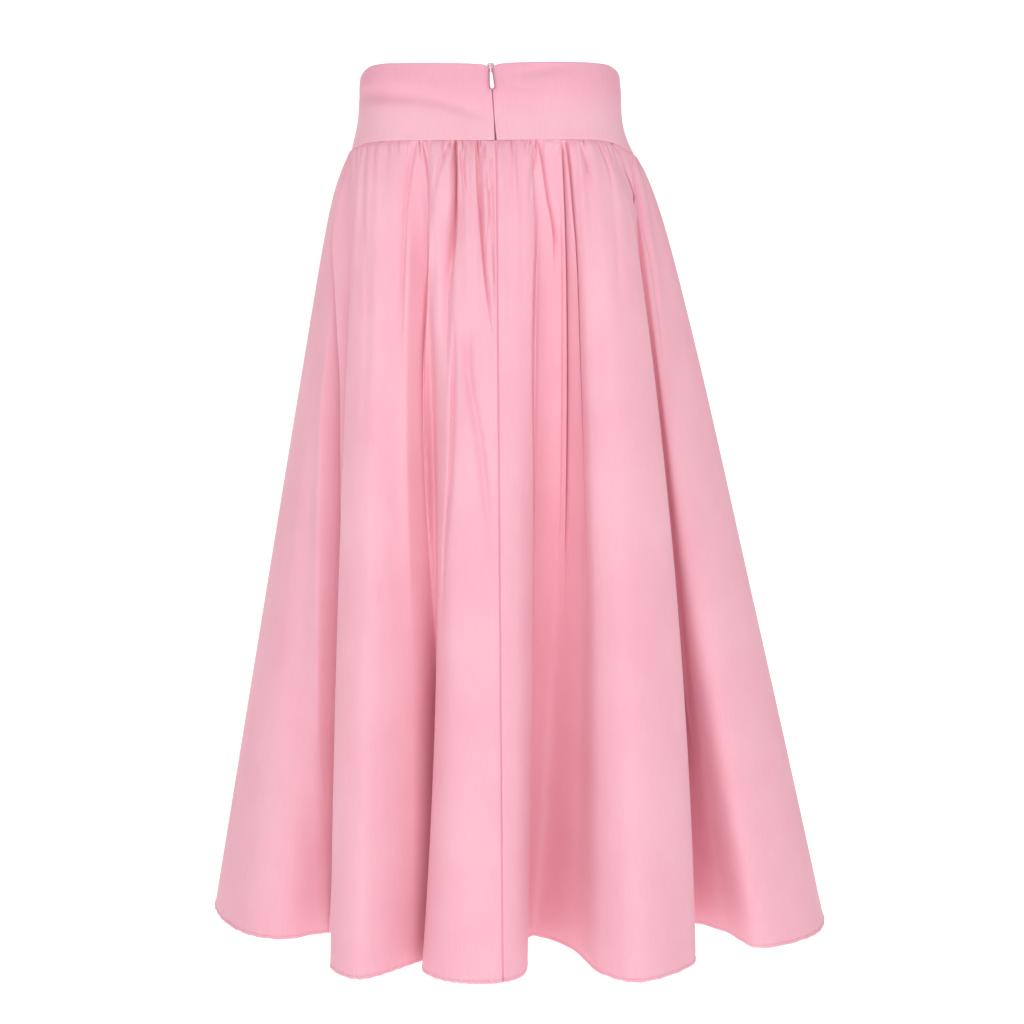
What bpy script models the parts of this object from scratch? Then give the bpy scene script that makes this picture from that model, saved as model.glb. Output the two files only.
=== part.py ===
"""Gathered midi skirt with a wide shaped waistband and a zip in its centre back seam.

The skirt keeps its worn, hollow form. The origin is the centre of the waist opening, in the
plane of the waistband's top edge. +Z is up, the zip side faces -Y and the front faces +Y.

A place round the body is its turn: degrees from -Y, growing towards +X. So the centre back is
near 0, the right side seam near 90, the centre front at 180 and the left side seam near 270.
A place along a piece is its fall: 0 at the piece's top edge and 1 at its bottom edge.
"""

import math

import bmesh
import bpy
import numpy as np

MM = 0.001

# Waistband: three shaped panels, faced and interfaced, so thicker than the skirt's single cloth.
BAND_HEIGHT = 0.065
BAND_WALL = 0.002
BAND_TOP_HALF_WIDTH = 0.1158
BAND_TOP_HALF_DEPTH = 0.093
SEAM_HALF_WIDTH = 0.1245
SEAM_HALF_DEPTH = 0.0995
RING_POWER = 3.0
BAND_CORNER_DROP = 0.0022
BAND_CORNER_RUN = 0.0045
BAND_ROW_FALLS = (0.0, 0.05, 0.12, 0.2, 0.4, 0.6, 0.8, 1.0)
BAND_COLUMN_DEGREES = 4.5
BAND_SHARES_BY_ZIP = (0.012, 0.026)

# Skirt: cloth gathered into the waistband, falling to the hem.
SKIRT_DROP = 0.702
SKIRT_WALL = 0.0012
HIP_SPRING = 0.09
HIP_RUN = 0.045
SKIRT_ROW_FALLS = (0.0, 0.012, 0.03, 0.06, 0.1, 0.16, 0.25, 0.37, 0.51, 0.66, 0.83, 1.0)
WIDEST_COLUMN_DEGREES = 1.75
WIDEST_COLUMN_AT_HEM = 0.018

# Gathers: one small wave for every stitch-full of cloth drawn up along the waist seam.
GATHERS_AROUND = 54
GATHER_DEPTH = 0.0021
GATHER_DEPTH_AT_SEAM = 0.0005
GATHER_SWELL = 0.018
GATHER_FADE = 0.13

# Seams: neighbouring pieces stand this far apart, and the side seams lie at these turns.
SEAM_GAP = 0.0003
RIGHT_SIDE_TURN = 93.0
LEFT_SIDE_TURN = 267.0
CENTRE_BACK_TOP_X = 0.0014
CENTRE_BACK_SEAM_TURN = 3.3

# Half the opening between the two centre back edges of the waistband, down its height.
ZIP_OPENING = np.array(
    [(0.0, 0.0013), (0.18, 0.0011), (0.32, 0.0003), (0.7, 0.0002), (1.0, 0.0008)],
    dtype=[("fall", float), ("half_gap", float)],
)

# Large folds at the hem, in millimetres: each row is one crest, edge or valley, with the turn
# where its cloth is sewn in, its place at the hem, and how far it sways half way down.
FOLD_COLUMNS = [
    ("name", "U24"), ("seam_turn", float), ("hem_x", float), ("hem_y", float),
    ("sway_x", float), ("sway_y", float),
]
BACK_RIGHT_FOLDS = np.array([
    ("centre_back", 3.3, 12, -213, 0, 0),
    ("third_crest_end", 14, 27, -199, 0, 0),
    ("third_right_edge", 22, 33, -168, 2, 0),
    ("third_right_wall", 26, 27, -122, 3, 0),
    ("hollow", 32, 39, -85, 11, -4),
    ("fourth_flank", 35, 72, -132, 10, -6),
    ("fourth_shoulder", 39, 95, -190, 4, -4),
    ("fourth_crest", 48, 124, -213, 6, -4),
    ("fourth_right_edge", 57, 177, -160, 14, -4),
    ("fourth_right_wall", 61, 168, -98, 12, 0),
    ("gap_valley", 65, 180, -40, 9, 2),
    ("fifth_flank", 70, 205, -64, 9, -4),
    ("fifth_crest", 77, 236, -120, 8, -4),
    ("fifth_right", 85, 291, -82, 4, 0),
], dtype=FOLD_COLUMNS)
FRONT_FOLDS = np.array([
    ("right_side", 93, 308, -12, 2, 0),
    ("sixth_crest", 102, 291, 66, 0, 2),
    ("sixth_valley", 113, 206, 62, 0, 0),
    ("seventh_edge", 121, 222, 132, 0, 0),
    ("seventh_crest", 130, 184, 178, 0, 4),
    ("seventh_valley", 141, 126, 116, 0, 0),
    ("eighth_edge", 148, 133, 176, 0, 0),
    ("eighth_crest", 158, 88, 214, 0, 4),
    ("eighth_valley", 170, 40, 126, 0, 0),
    ("ninth_edge", 177, 42, 186, 0, 0),
    ("ninth_crest", 186, 0, 222, 0, 4),
    ("ninth_valley", 196, -46, 134, 0, 0),
    ("tenth_edge", 203, -44, 190, 0, 0),
    ("tenth_crest", 213, -92, 214, 0, 4),
    ("tenth_valley", 224, -126, 118, 0, 0),
    ("eleventh_edge", 231, -136, 172, 0, 0),
    ("eleventh_crest", 241, -182, 160, 0, 4),
    ("eleventh_valley", 254, -196, 60, 0, 0),
], dtype=FOLD_COLUMNS)
BACK_LEFT_FOLDS = np.array([
    ("left_side", 267, -257, 34, 0, 0),
    ("first_left", 275, -251, -24, -1, 0),
    ("first_crest_start", 282, -216, -82, 0, 0),
    ("first_crest", 287, -184, -95, 0, 0),
    ("first_right", 291.5, -147, -76, 0, 0),
    ("first_valley", 294.5, -119, -84, 0, 0),
    ("second_left_wall", 297, -126, -128, -2, 0),
    ("second_left_edge", 300, -135, -175, -4, 0),
    ("second_crest", 309, -109, -205, 0, -2),
    ("second_right", 322, -66, -165, 2, 0),
    ("narrow_valley", 327, -47, -142, 6, 8),
    ("third_left_edge", 331, -57, -180, 12, 2),
    ("third_crest_start", 339, -38, -208, 6, 0),
    ("third_crest", 350, -9, -217, 0, 0),
], dtype=FOLD_COLUMNS)

# Tucks: the deeper gathers, with their turn at the waist seam, half width, depth outwards in
# millimetres (inwards where negative), drift in degrees and the fall at which they have faded.
TUCKS = np.array([
    ("zip_left_valley", -7.5, 1.8, -2.5, 5.5, 0.26),
    ("zip_left_ridge", -11.5, 2.6, 2.5, 3.0, 0.22),
    ("deep_valley", -16.5, 1.9, -5.0, 1.0, 0.24),
    ("narrow_ridge", -24.0, 3.0, 3.0, 0.0, 0.30),
    ("zip_right_ridge", 12.0, 3.0, 2.5, 1.0, 0.20),
    ("slanting_valley", 21.5, 2.0, -3.5, 4.5, 0.20),
    ("hollow_ridge", 28.8, 2.4, 6.0, 0.6, 0.75),
    ("fourth_valley", 42.5, 2.2, -2.5, 1.0, 0.14),
    ("left_valley", -47.0, 2.6, -2.5, -1.0, 0.22),
    ("fifth_groove", 70.5, 2.0, -3.0, 1.0, 0.40),
    ("front_right_valley", 128.0, 2.2, -4.0, 1.5, 0.30),
    ("front_right_ridge", 153.0, 3.0, 3.5, 1.0, 0.40),
    ("front_centre_valley", 181.0, 2.0, -4.0, -2.0, 0.28),
    ("front_left_ridge", 207.0, 3.0, 3.5, -1.0, 0.35),
    ("front_left_valley", 235.0, 2.2, -4.0, -1.5, 0.30),
], dtype=[("name", "U24"), ("turn", float), ("half_width", float), ("depth", float),
          ("drift", float), ("reach", float)])

# Zip tapes: woven strips behind the opening's edges, ending a little below the zip's stop.
TAPE_WIDTH = 0.012
TAPE_WALL = 0.0008
TAPE_INSET = 0.0034
TAPE_EDGE_BESIDE_SLIDER = 0.0042
TAPE_EDGE_BELOW_SLIDER = 0.0006
SLIDER_FOOT = 0.011
TAPE_COLUMNS = 5
TAPE_ROW_DEPTHS = (0.003, 0.0105, 0.0115, 0.03, 0.05, 0.064, 0.071, 0.082, 0.1, 0.13, 0.17,
                   0.21, 0.255)

# Zip slider and its pull tab: heights are from the waistband's top edge, depths from its face.
SLIDER_WIDTH = 0.0062
SLIDER_HEIGHT = 0.0095
SLIDER_DEPTH = 0.0022
SLIDER_RISE = 0.0018
POST_WIDTH = 0.0014
POST_TOP = 0.0012
POST_BOTTOM = -0.0045
BRIDGE_WIDTH = 0.0042
BRIDGE_THICKNESS = 0.0008
BRIDGE_STAND_OFF = 0.0004
BRIDGE_TOP = 0.0008
BRIDGE_BOTTOM = -0.0082
NOSE_RISE = 0.0034
BAIL_RADIUS = 0.0018
BAIL_WIRE_RADIUS = 0.00045
PULL_DROP = 0.0046
PULL_STAND_OFF = 0.0021
PULL_LENGTH = 0.0176
PULL_THICKNESS = 0.0010
PULL_TOP_RADIUS = 0.0019
PULL_BULB_RADIUS = 0.0028
PULL_BAR_TOP = 0.0007
PULL_BAR_HALF = 0.0005
PULL_EYE_HALF_WIDTH = 0.00095
PULL_EYE_DEPTH = 0.0021
PULL_LEAN = 5.0


def clear_scene():
    """Starts from a scene with nothing in it."""
    for thing in list(bpy.data.objects):
        bpy.data.objects.remove(thing, do_unlink=True)


def finish_material(name, red_green_blue, roughness, metallic):
    """Material with one plain shader; the colour is in linear light."""
    material = bpy.data.materials.new(name)
    material.use_nodes = True
    shader = material.node_tree.nodes["Principled BSDF"]
    shader.inputs["Base Color"].default_value = (*red_green_blue, 1.0)
    shader.inputs["Roughness"].default_value = roughness
    shader.inputs["Metallic"].default_value = metallic
    return material


def ring(turn, half_width, half_depth):
    """Point of a rounded, body-shaped ring: a superellipse met by the ray at this turn."""
    across = np.sin(np.radians(turn))
    back = -np.cos(np.radians(turn))
    reach = (
        np.abs(across / half_width) ** RING_POWER + np.abs(back / half_depth) ** RING_POWER
    ) ** (-1 / RING_POWER)
    return reach * across, reach * back


def band_surface(turn, fall):
    """Outer face of the waistband: a ring that widens from its top edge to the waist seam,
    with the top edge rounded off beside the zip."""
    half_width = BAND_TOP_HALF_WIDTH + (SEAM_HALF_WIDTH - BAND_TOP_HALF_WIDTH) * fall
    half_depth = BAND_TOP_HALF_DEPTH + (SEAM_HALF_DEPTH - BAND_TOP_HALF_DEPTH) * fall
    x, y = ring(turn, half_width, half_depth)
    beside_zip = np.exp(-(((x - CENTRE_BACK_TOP_X) / BAND_CORNER_RUN) ** 2)) * (y < 0)
    corner_drop = BAND_CORNER_DROP * beside_zip * (1 - fall) ** 6
    return np.stack([x, y, -BAND_HEIGHT * fall - corner_drop], axis=-1)


def folds_around():
    """All the large folds in order of turn, as one table."""
    return np.concatenate([BACK_RIGHT_FOLDS, FRONT_FOLDS, BACK_LEFT_FOLDS])


def curve_stations(folds):
    """Running place of each fold along the hem curve: the square root of each chord, added up.
    The last value closes the curve."""
    places = np.stack([folds["hem_x"], folds["hem_y"]], axis=-1)
    chords = np.linalg.norm(np.roll(places, -1, axis=0) - places, axis=1)
    return np.concatenate([[0.0], np.cumsum(np.sqrt(chords))])


def closed_curve(stations, values, where):
    """Smooth closed curve through the values: cubic pieces whose slope at each station is the
    mean of the two neighbouring chords, each weighted by the other's length."""
    length = stations[-1]
    steps = np.diff(stations)
    rises = (np.roll(values, -1, axis=0) - values) / steps[:, None]
    before = np.roll(steps, 1)[:, None]
    slopes = (np.roll(rises, 1, axis=0) * steps[:, None] + rises * before) / (
        before + steps[:, None]
    )
    where = np.mod(where, length)
    piece = np.clip(np.searchsorted(stations, where, side="right") - 1, 0, len(steps) - 1)
    after = (piece + 1) % len(steps)
    step = steps[piece][..., None]
    along = (where - stations[piece])[..., None] / step
    return (
        values[piece] * (2 * along**3 - 3 * along**2 + 1)
        + slopes[piece] * step * (along**3 - 2 * along**2 + along)
        + values[after] * (3 * along**2 - 2 * along**3)
        + slopes[after] * step * (along**3 - along**2)
    )


def hem_curve(turn):
    """Hem place and half-way sway, in metres, of the cloth sewn in at this turn. The turn is
    carried to the curve's stations along the table, evened out over a few degrees."""
    folds = folds_around()
    stations = curve_stations(folds)
    turns = np.concatenate([folds["seam_turn"], [folds["seam_turn"][0] + 360]])
    around = np.mod(turn - turns[0], 360) + turns[0]
    long_turns = np.concatenate([turns[:-1] - 360, turns[:-1], turns + 360])
    long_stations = np.concatenate([
        stations[:-1] - stations[-1], stations[:-1], stations + stations[-1],
    ])
    where = np.mean(
        [np.interp(around + shift, long_turns, long_stations) for shift in np.linspace(-2, 2, 9)],
        axis=0,
    )
    values = np.stack([folds["hem_x"], folds["hem_y"], folds["sway_x"], folds["sway_y"]], axis=-1)
    found = closed_curve(stations, values * MM, where)
    return found[..., :2], found[..., 2:]


def gather_wave(turn, fall):
    """Outward push of the small gathers: a wave round the seam, its length and height made
    uneven by slower waves, low in the stitching, swelling just below it and fading down."""
    radians = np.radians(turn)
    phase = GATHERS_AROUND * radians + 1.5 * np.sin(7 * radians + 0.8) + 1.1 * np.sin(
        16 * radians + 2.1
    )
    uneven = 0.75 + 0.3 * np.sin(11 * radians + 0.4) + 0.25 * np.sin(5 * radians + 1.9)
    swell = 1 - np.exp(-fall / GATHER_SWELL)
    height = GATHER_DEPTH_AT_SEAM + (GATHER_DEPTH - GATHER_DEPTH_AT_SEAM) * swell
    fade = np.exp(-((fall / GATHER_FADE) ** 1.5))
    return height * fade * uneven * np.cos(phase)


def tuck_wave(turn, fall):
    """Outward push of the deeper tucks: each a rounded ridge or trough that drifts sideways,
    deepest a little below the seam and gone at its reach."""
    push = np.zeros(np.broadcast(turn, fall).shape)
    for tuck in TUCKS:
        share = fall / tuck["reach"]
        middle = tuck["turn"] + tuck["drift"] * np.clip(share, 0, 1)
        aside = np.mod(turn - middle + 180, 360) - 180
        width = tuck["half_width"] * (1 + share)
        body = np.exp(-((aside / width) ** 2))
        depth = np.clip(share / 0.12, 0, 1) * np.clip(1 - share, 0, 1) ** 1.3
        push += tuck["depth"] * MM * body * depth
    return push


def skirt_folds(turn, fall):
    """Skirt without its gathers: each thread of cloth runs from the waist seam's ring to its
    place on the hem curve, springing out over the hip and swaying half way down."""
    x, y = ring(turn, SEAM_HALF_WIDTH, SEAM_HALF_DEPTH)
    hem, sway = hem_curve(turn)
    spread = fall + HIP_SPRING * (1 - fall) * (1 - np.exp(-fall / HIP_RUN))
    swing = 4 * fall * (1 - fall)
    return np.stack([
        x + (hem[..., 0] - x) * spread + sway[..., 0] * swing,
        y + (hem[..., 1] - y) * spread + sway[..., 1] * swing,
        -BAND_HEIGHT - SEAM_GAP - SKIRT_DROP * fall,
    ], axis=-1)


def outward(surface, turn, fall):
    """Unit normal of a surface, pointing away from the body, from small steps both ways."""
    turn_step, fall_step = 0.2, 0.004
    around = surface(turn + turn_step, fall) - surface(turn - turn_step, fall)
    low, high = np.clip(fall - fall_step, 0, 1), np.clip(fall + fall_step, 0, 1)
    down = surface(turn, high) - surface(turn, low)
    normal = np.cross(down, around)
    return normal / np.linalg.norm(normal, axis=-1, keepdims=True)


def skirt_surface(turn, fall):
    """Outer face of the skirt: the folds, pushed out and in by the gathers and tucks."""
    level = outward(skirt_folds, turn, fall) * (1, 1, 0)
    push = gather_wave(turn, fall) + tuck_wave(turn, fall)
    return skirt_folds(turn, fall) + level * push[..., None]


def part_edges(grid, left_shift, right_shift):
    """Grid of points with its first and last columns moved inwards along their rows, by a
    length for each row, to leave a seam's gap."""
    first = grid[:, 1] - grid[:, 0]
    last = grid[:, -2] - grid[:, -1]
    grid[:, 0] += first / np.linalg.norm(first, axis=1, keepdims=True) * left_shift[:, None]
    grid[:, -1] += last / np.linalg.norm(last, axis=1, keepdims=True) * right_shift[:, None]
    return grid


def make_wall(name, outer, inner, material):
    """Closed wall between two grids of points, outer and inner, joined along their rims."""
    rows, columns = outer.shape[:2]
    points = np.concatenate([outer.reshape(-1, 3), inner.reshape(-1, 3)])
    back = rows * columns

    def at(row, column):
        return row * columns + column

    faces = []
    for row in range(rows - 1):
        for column in range(columns - 1):
            corners = (at(row, column), at(row + 1, column), at(row + 1, column + 1),
                       at(row, column + 1))
            faces.append(corners)
            faces.append(tuple(back + corner for corner in reversed(corners)))
    rim = [at(0, column) for column in range(columns)]
    rim += [at(row, columns - 1) for row in range(1, rows)]
    rim += [at(rows - 1, column) for column in range(columns - 2, -1, -1)]
    rim += [at(row, 0) for row in range(rows - 2, 0, -1)]
    for here, ahead in zip(rim, rim[1:] + rim[:1]):
        faces.append((here, ahead, back + ahead, back + here))
    mesh = bpy.data.meshes.new(name)
    mesh.from_pydata(points.tolist(), [], faces)
    return place_mesh(name, mesh, material)


def place_mesh(name, mesh, material):
    """Object for a mesh, with outward faces and its material, linked to the scene."""
    shape = bmesh.new()
    shape.from_mesh(mesh)
    bmesh.ops.recalc_face_normals(shape, faces=shape.faces)
    shape.to_mesh(mesh)
    shape.free()
    mesh.materials.append(material)
    mesh.shade_smooth()
    mesh.set_sharp_from_angle(angle=math.radians(50))
    thing = bpy.data.objects.new(name, mesh)
    bpy.context.scene.collection.objects.link(thing)
    return thing


def column_turns(first, last):
    """Turns of a skirt panel's columns: close enough for the gathers at the seam, and closer
    where the cloth spreads fast at the hem."""
    fine = np.linspace(first, last, 2000)
    hem, _ = hem_curve(fine)
    speed = np.linalg.norm(np.gradient(hem, fine, axis=0), axis=1)
    density = np.maximum(1 / WIDEST_COLUMN_DEGREES, speed / WIDEST_COLUMN_AT_HEM)
    count = np.concatenate([[0.0], np.cumsum((density[1:] + density[:-1]) / 2 * np.diff(fine))])
    columns = int(math.ceil(count[-1]))
    return np.interp(np.linspace(0, count[-1], columns + 1), count, fine)


def skirt_panel(name, first, last, material):
    """One panel of the skirt between two turns, with a wall of one cloth."""
    turns = column_turns(first, last)[None, :]
    falls = np.array(SKIRT_ROW_FALLS)[:, None]
    turns, falls = np.broadcast_arrays(turns, falls)
    outer = skirt_surface(turns, falls)
    inner = outer - outward(skirt_surface, turns, falls) * SKIRT_WALL
    inner[..., 2] = outer[..., 2]
    gap = np.full(len(outer), SEAM_GAP / 2)
    return make_wall(name, part_edges(outer, gap, gap), part_edges(inner, gap, gap), material)


def centre_back_turn(fall):
    """Turn of the waistband's centre back line, which leans a little to the right."""
    top = math.degrees(math.atan(CENTRE_BACK_TOP_X / BAND_TOP_HALF_DEPTH))
    return top + (CENTRE_BACK_SEAM_TURN - top) * fall


def band_panel(name, first, last, material, first_is_zip=False, last_is_zip=False):
    """One panel of the waistband between two turns. An edge at the zip follows the centre back
    line and stands back from it by half the zip's opening."""
    falls = np.array(BAND_ROW_FALLS)[:, None]
    first_turn = centre_back_turn(falls) if first_is_zip else np.full_like(falls, first)
    last_turn = centre_back_turn(falls) + 360 if last_is_zip else np.full_like(falls, last)
    columns = int(round((last - first) / BAND_COLUMN_DEGREES))
    shares = np.linspace(0, 1, columns + 1)
    if first_is_zip:
        shares = np.sort(np.concatenate([shares, BAND_SHARES_BY_ZIP]))
    if last_is_zip:
        shares = np.sort(np.concatenate([shares, 1 - np.array(BAND_SHARES_BY_ZIP)]))
    turns = first_turn + (last_turn - first_turn) * shares[None, :]
    falls = np.broadcast_to(falls, turns.shape)
    outer = band_surface(turns, falls)
    inner = outer - outward(band_surface, turns, falls) * BAND_WALL
    inner[..., 2] = outer[..., 2]
    seam = np.full(len(outer), SEAM_GAP / 2)
    opening = np.interp(falls[:, 0], ZIP_OPENING["fall"], ZIP_OPENING["half_gap"])
    left = opening if first_is_zip else seam
    right = opening if last_is_zip else seam
    return make_wall(name, part_edges(outer, left, right), part_edges(inner, left, right), material)


def zip_tape(name, side, material):
    """Strip behind one edge of the opening: its points are those of the panels' outer faces,
    at fixed distances from the centre back line, moved in past the walls."""
    rows = []
    for depth in TAPE_ROW_DEPTHS:
        on_band = depth < BAND_HEIGHT
        surface = band_surface if on_band else skirt_surface
        fall = depth / BAND_HEIGHT if on_band else (depth - BAND_HEIGHT) / SKIRT_DROP
        fall = np.array(fall)
        middle = centre_back_turn(fall) if on_band else CENTRE_BACK_SEAM_TURN
        degree = np.linalg.norm(surface(middle + 0.5, fall) - surface(middle - 0.5, fall))
        edge = TAPE_EDGE_BESIDE_SLIDER if depth < SLIDER_FOOT else TAPE_EDGE_BELOW_SLIDER
        away = np.linspace(edge, TAPE_WIDTH, TAPE_COLUMNS) * side
        turns = middle + away / degree
        falls = np.full(turns.shape, float(fall))
        points = surface(turns, falls)
        inward = -outward(surface, turns, falls)
        rows.append((points + inward * TAPE_INSET, points + inward * (TAPE_INSET + TAPE_WALL)))
    outer = np.array([row[0] for row in rows])
    inner = np.array([row[1] for row in rows])
    return make_wall(name, outer, inner, material)


def block(low, high):
    """Closed box between two corners, as a mesh."""
    shape = bmesh.new()
    bmesh.ops.create_cube(shape, size=1.0)
    for vertex in shape.verts:
        for axis in range(3):
            share = vertex.co[axis] + 0.5
            vertex.co[axis] = low[axis] + (high[axis] - low[axis]) * share
    mesh = bpy.data.meshes.new("block")
    shape.to_mesh(mesh)
    shape.free()
    return mesh


def wire(path, radius, sides=8):
    """Round wire along a path in a plane of constant X, with closed ends, as a mesh."""
    path = np.array(path)
    ahead = np.gradient(path, axis=0)
    ahead /= np.linalg.norm(ahead, axis=1, keepdims=True)
    across = np.array([1.0, 0.0, 0.0])
    around = 2 * math.pi * np.arange(sides) / sides
    rings = [
        point + radius * (np.cos(around)[:, None] * across
                          + np.sin(around)[:, None] * np.cross(way, across))
        for point, way in zip(path, ahead)
    ]
    shape = bmesh.new()
    rows = [[shape.verts.new(corner) for corner in corners] for corners in rings]
    for lower, upper in zip(rows, rows[1:]):
        for side in range(sides):
            following = (side + 1) % sides
            shape.faces.new((lower[side], lower[following], upper[following], upper[side]))
    shape.faces.new(rows[0])
    shape.faces.new(rows[-1])
    bmesh.ops.recalc_face_normals(shape, faces=shape.faces)
    mesh = bpy.data.meshes.new("wire")
    shape.to_mesh(mesh)
    shape.free()
    return mesh


def add_union(thing, mesh, name):
    """Joins a helper mesh to an object with a Boolean; the helper rides on the same seat and
    stays hidden."""
    helper = bpy.data.objects.new(name, mesh)
    helper.hide_render = True
    helper.display_type = "WIRE"
    helper.parent = thing.parent
    bpy.context.scene.collection.objects.link(helper)
    union = thing.modifiers.new(name, "BOOLEAN")
    union.operation = "UNION"
    union.solver = "EXACT"
    union.object = helper


def slider_seat():
    """Empty on the waistband's outer face at the top of the zip, leaning with that face."""
    seat = bpy.data.objects.new("slider_seat", None)
    seat.location = (CENTRE_BACK_TOP_X, -BAND_TOP_HALF_DEPTH, 0)
    seat.rotation_euler[0] = -math.atan((SEAM_HALF_DEPTH - BAND_TOP_HALF_DEPTH) / BAND_HEIGHT)
    bpy.context.scene.collection.objects.link(seat)
    return seat


def zip_slider(material, seat):
    """Cast slider: a body behind the edges, a post through the opening, a bridge plate in
    front with a pointed nose above the waistband, and the bail that holds the pull tab."""
    body_front = BAND_WALL + SEAM_GAP
    body = block(
        (-SLIDER_WIDTH / 2, body_front, SLIDER_RISE - SLIDER_HEIGHT),
        (SLIDER_WIDTH / 2, body_front + SLIDER_DEPTH, SLIDER_RISE),
    )
    slider = place_mesh("zip_slider", body, material)
    slider.parent = seat
    bridge_back = -BRIDGE_STAND_OFF
    bridge_front = bridge_back - BRIDGE_THICKNESS
    post = block(
        (-POST_WIDTH / 2, bridge_back - BRIDGE_THICKNESS / 2, POST_BOTTOM),
        (POST_WIDTH / 2, body_front + SLIDER_DEPTH / 2, POST_TOP),
    )
    add_union(slider, post, "slider_post")
    bridge = block(
        (-BRIDGE_WIDTH / 2, bridge_front, BRIDGE_BOTTOM),
        (BRIDGE_WIDTH / 2, bridge_back, BRIDGE_TOP),
    )
    add_union(slider, bridge, "slider_bridge")
    add_union(slider, nose_wedge(bridge_front * 0.8, body_front + SLIDER_DEPTH * 0.7), "slider_nose")
    root = bridge_front + BRIDGE_THICKNESS * 0.4
    path = [(0, root, -PULL_DROP - BAIL_RADIUS)]
    path += [
        (0, -PULL_STAND_OFF - BAIL_RADIUS * math.cos(bend), -PULL_DROP + BAIL_RADIUS * math.sin(bend))
        for bend in np.linspace(-math.pi / 2, math.pi / 2, 9)
    ]
    path += [(0, root, -PULL_DROP + BAIL_RADIUS)]
    add_union(slider, wire(path, BAIL_WIRE_RADIUS), "slider_bail")
    return slider


def nose_wedge(front, rear):
    """Pointed top of the slider: a triangle seen from the back of the skirt, carried in over
    the waistband's edge."""
    half = BRIDGE_WIDTH * 0.42
    foot = BRIDGE_TOP - 0.0006
    shape = bmesh.new()
    corners = [shape.verts.new(place) for place in (
        (-half, front, foot), (half, front, foot), (0, front, NOSE_RISE),
    )]
    face = shape.faces.new(corners)
    grown = bmesh.ops.extrude_face_region(shape, geom=[face])
    moved = [item for item in grown["geom"] if isinstance(item, bmesh.types.BMVert)]
    bmesh.ops.translate(shape, verts=moved, vec=(0, rear - front, 0))
    bmesh.ops.recalc_face_normals(shape, faces=shape.faces)
    mesh = bpy.data.meshes.new("nose")
    shape.to_mesh(mesh)
    shape.free()
    return mesh


def zip_pull(material, seat):
    """Teardrop tab: a flat plate with an eye, whose top bar lies on the hinge's axis inside
    the bail. Its outline is two circles and their common tangents."""
    top_centre = PULL_BAR_TOP - PULL_TOP_RADIUS
    bulb_centre = PULL_BULB_RADIUS - PULL_LENGTH
    tilt = math.asin((PULL_BULB_RADIUS - PULL_TOP_RADIUS) / (top_centre - bulb_centre))
    outline = [
        (PULL_TOP_RADIUS * math.cos(bend), top_centre + PULL_TOP_RADIUS * math.sin(bend))
        for bend in np.linspace(-tilt, math.pi + tilt, 13)
    ]
    outline += [
        (PULL_BULB_RADIUS * math.cos(bend), bulb_centre + PULL_BULB_RADIUS * math.sin(bend))
        for bend in np.linspace(math.pi + tilt, 2 * math.pi - tilt, 13)
    ]
    eye_centre = -PULL_BAR_HALF - PULL_EYE_DEPTH / 2
    eye = [
        (PULL_EYE_HALF_WIDTH * math.cos(bend), eye_centre + PULL_EYE_DEPTH / 2 * math.sin(bend))
        for bend in np.linspace(0, 2 * math.pi, 17)[:-1]
    ]
    shape = bmesh.new()
    edges = []
    for loop in (outline, eye):
        corners = [shape.verts.new((across, -PULL_THICKNESS / 2, up)) for across, up in loop]
        edges += [
            shape.edges.new((here, ahead)) for here, ahead in zip(corners, corners[1:] + corners[:1])
        ]
    bmesh.ops.triangle_fill(shape, edges=edges, use_beauty=True)
    grown = bmesh.ops.extrude_face_region(shape, geom=shape.faces[:])
    moved = [item for item in grown["geom"] if isinstance(item, bmesh.types.BMVert)]
    bmesh.ops.translate(shape, verts=moved, vec=(0, PULL_THICKNESS, 0))
    mesh = bpy.data.meshes.new("zip_pull")
    shape.to_mesh(mesh)
    shape.free()
    pull = place_mesh("zip_pull", mesh, material)
    hinge = bpy.data.objects.new("pull_hinge", None)
    hinge.parent = seat
    hinge.location = (0, -PULL_STAND_OFF, -PULL_DROP)
    bpy.context.scene.collection.objects.link(hinge)
    pull.parent = hinge
    pull.rotation_euler[1] = math.radians(-PULL_LEAN)
    return pull


clear_scene()
cotton = finish_material("rose_cotton_cloth", (0.91, 0.48, 0.57), 0.85, 0.0)
band_cotton = finish_material("rose_cotton_band", (0.88, 0.45, 0.54), 0.85, 0.0)
tape_weave = finish_material("pink_zip_tape", (0.83, 0.42, 0.50), 0.9, 0.0)
enamel = finish_material("pale_pink_enamel", (0.93, 0.66, 0.72), 0.3, 0.0)

band_panel("waistband_back_right", CENTRE_BACK_SEAM_TURN, RIGHT_SIDE_TURN, band_cotton,
           first_is_zip=True)
band_panel("waistband_front", RIGHT_SIDE_TURN, LEFT_SIDE_TURN, band_cotton)
band_panel("waistband_back_left", LEFT_SIDE_TURN, CENTRE_BACK_SEAM_TURN + 360, band_cotton,
           last_is_zip=True)
skirt_panel("skirt_back_right", CENTRE_BACK_SEAM_TURN, RIGHT_SIDE_TURN, cotton)
skirt_panel("skirt_front", RIGHT_SIDE_TURN, LEFT_SIDE_TURN, cotton)
skirt_panel("skirt_back_left", LEFT_SIDE_TURN, CENTRE_BACK_SEAM_TURN + 360, cotton)
zip_tape("zip_tape_left", -1, tape_weave)
zip_tape("zip_tape_right", 1, tape_weave)
seat = slider_seat()
zip_slider(enamel, seat)
zip_pull(enamel, seat)
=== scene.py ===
"""A gathered midi skirt in rose cotton, filled out and hollow, seen from its zip side.

Turn is a place round the body in degrees: 0 at the back (-Y), growing towards +X.
Fall is a place down a piece: 0 at its top edge, 1 at its bottom edge. Lengths are in metres.
"""

import math

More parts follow.
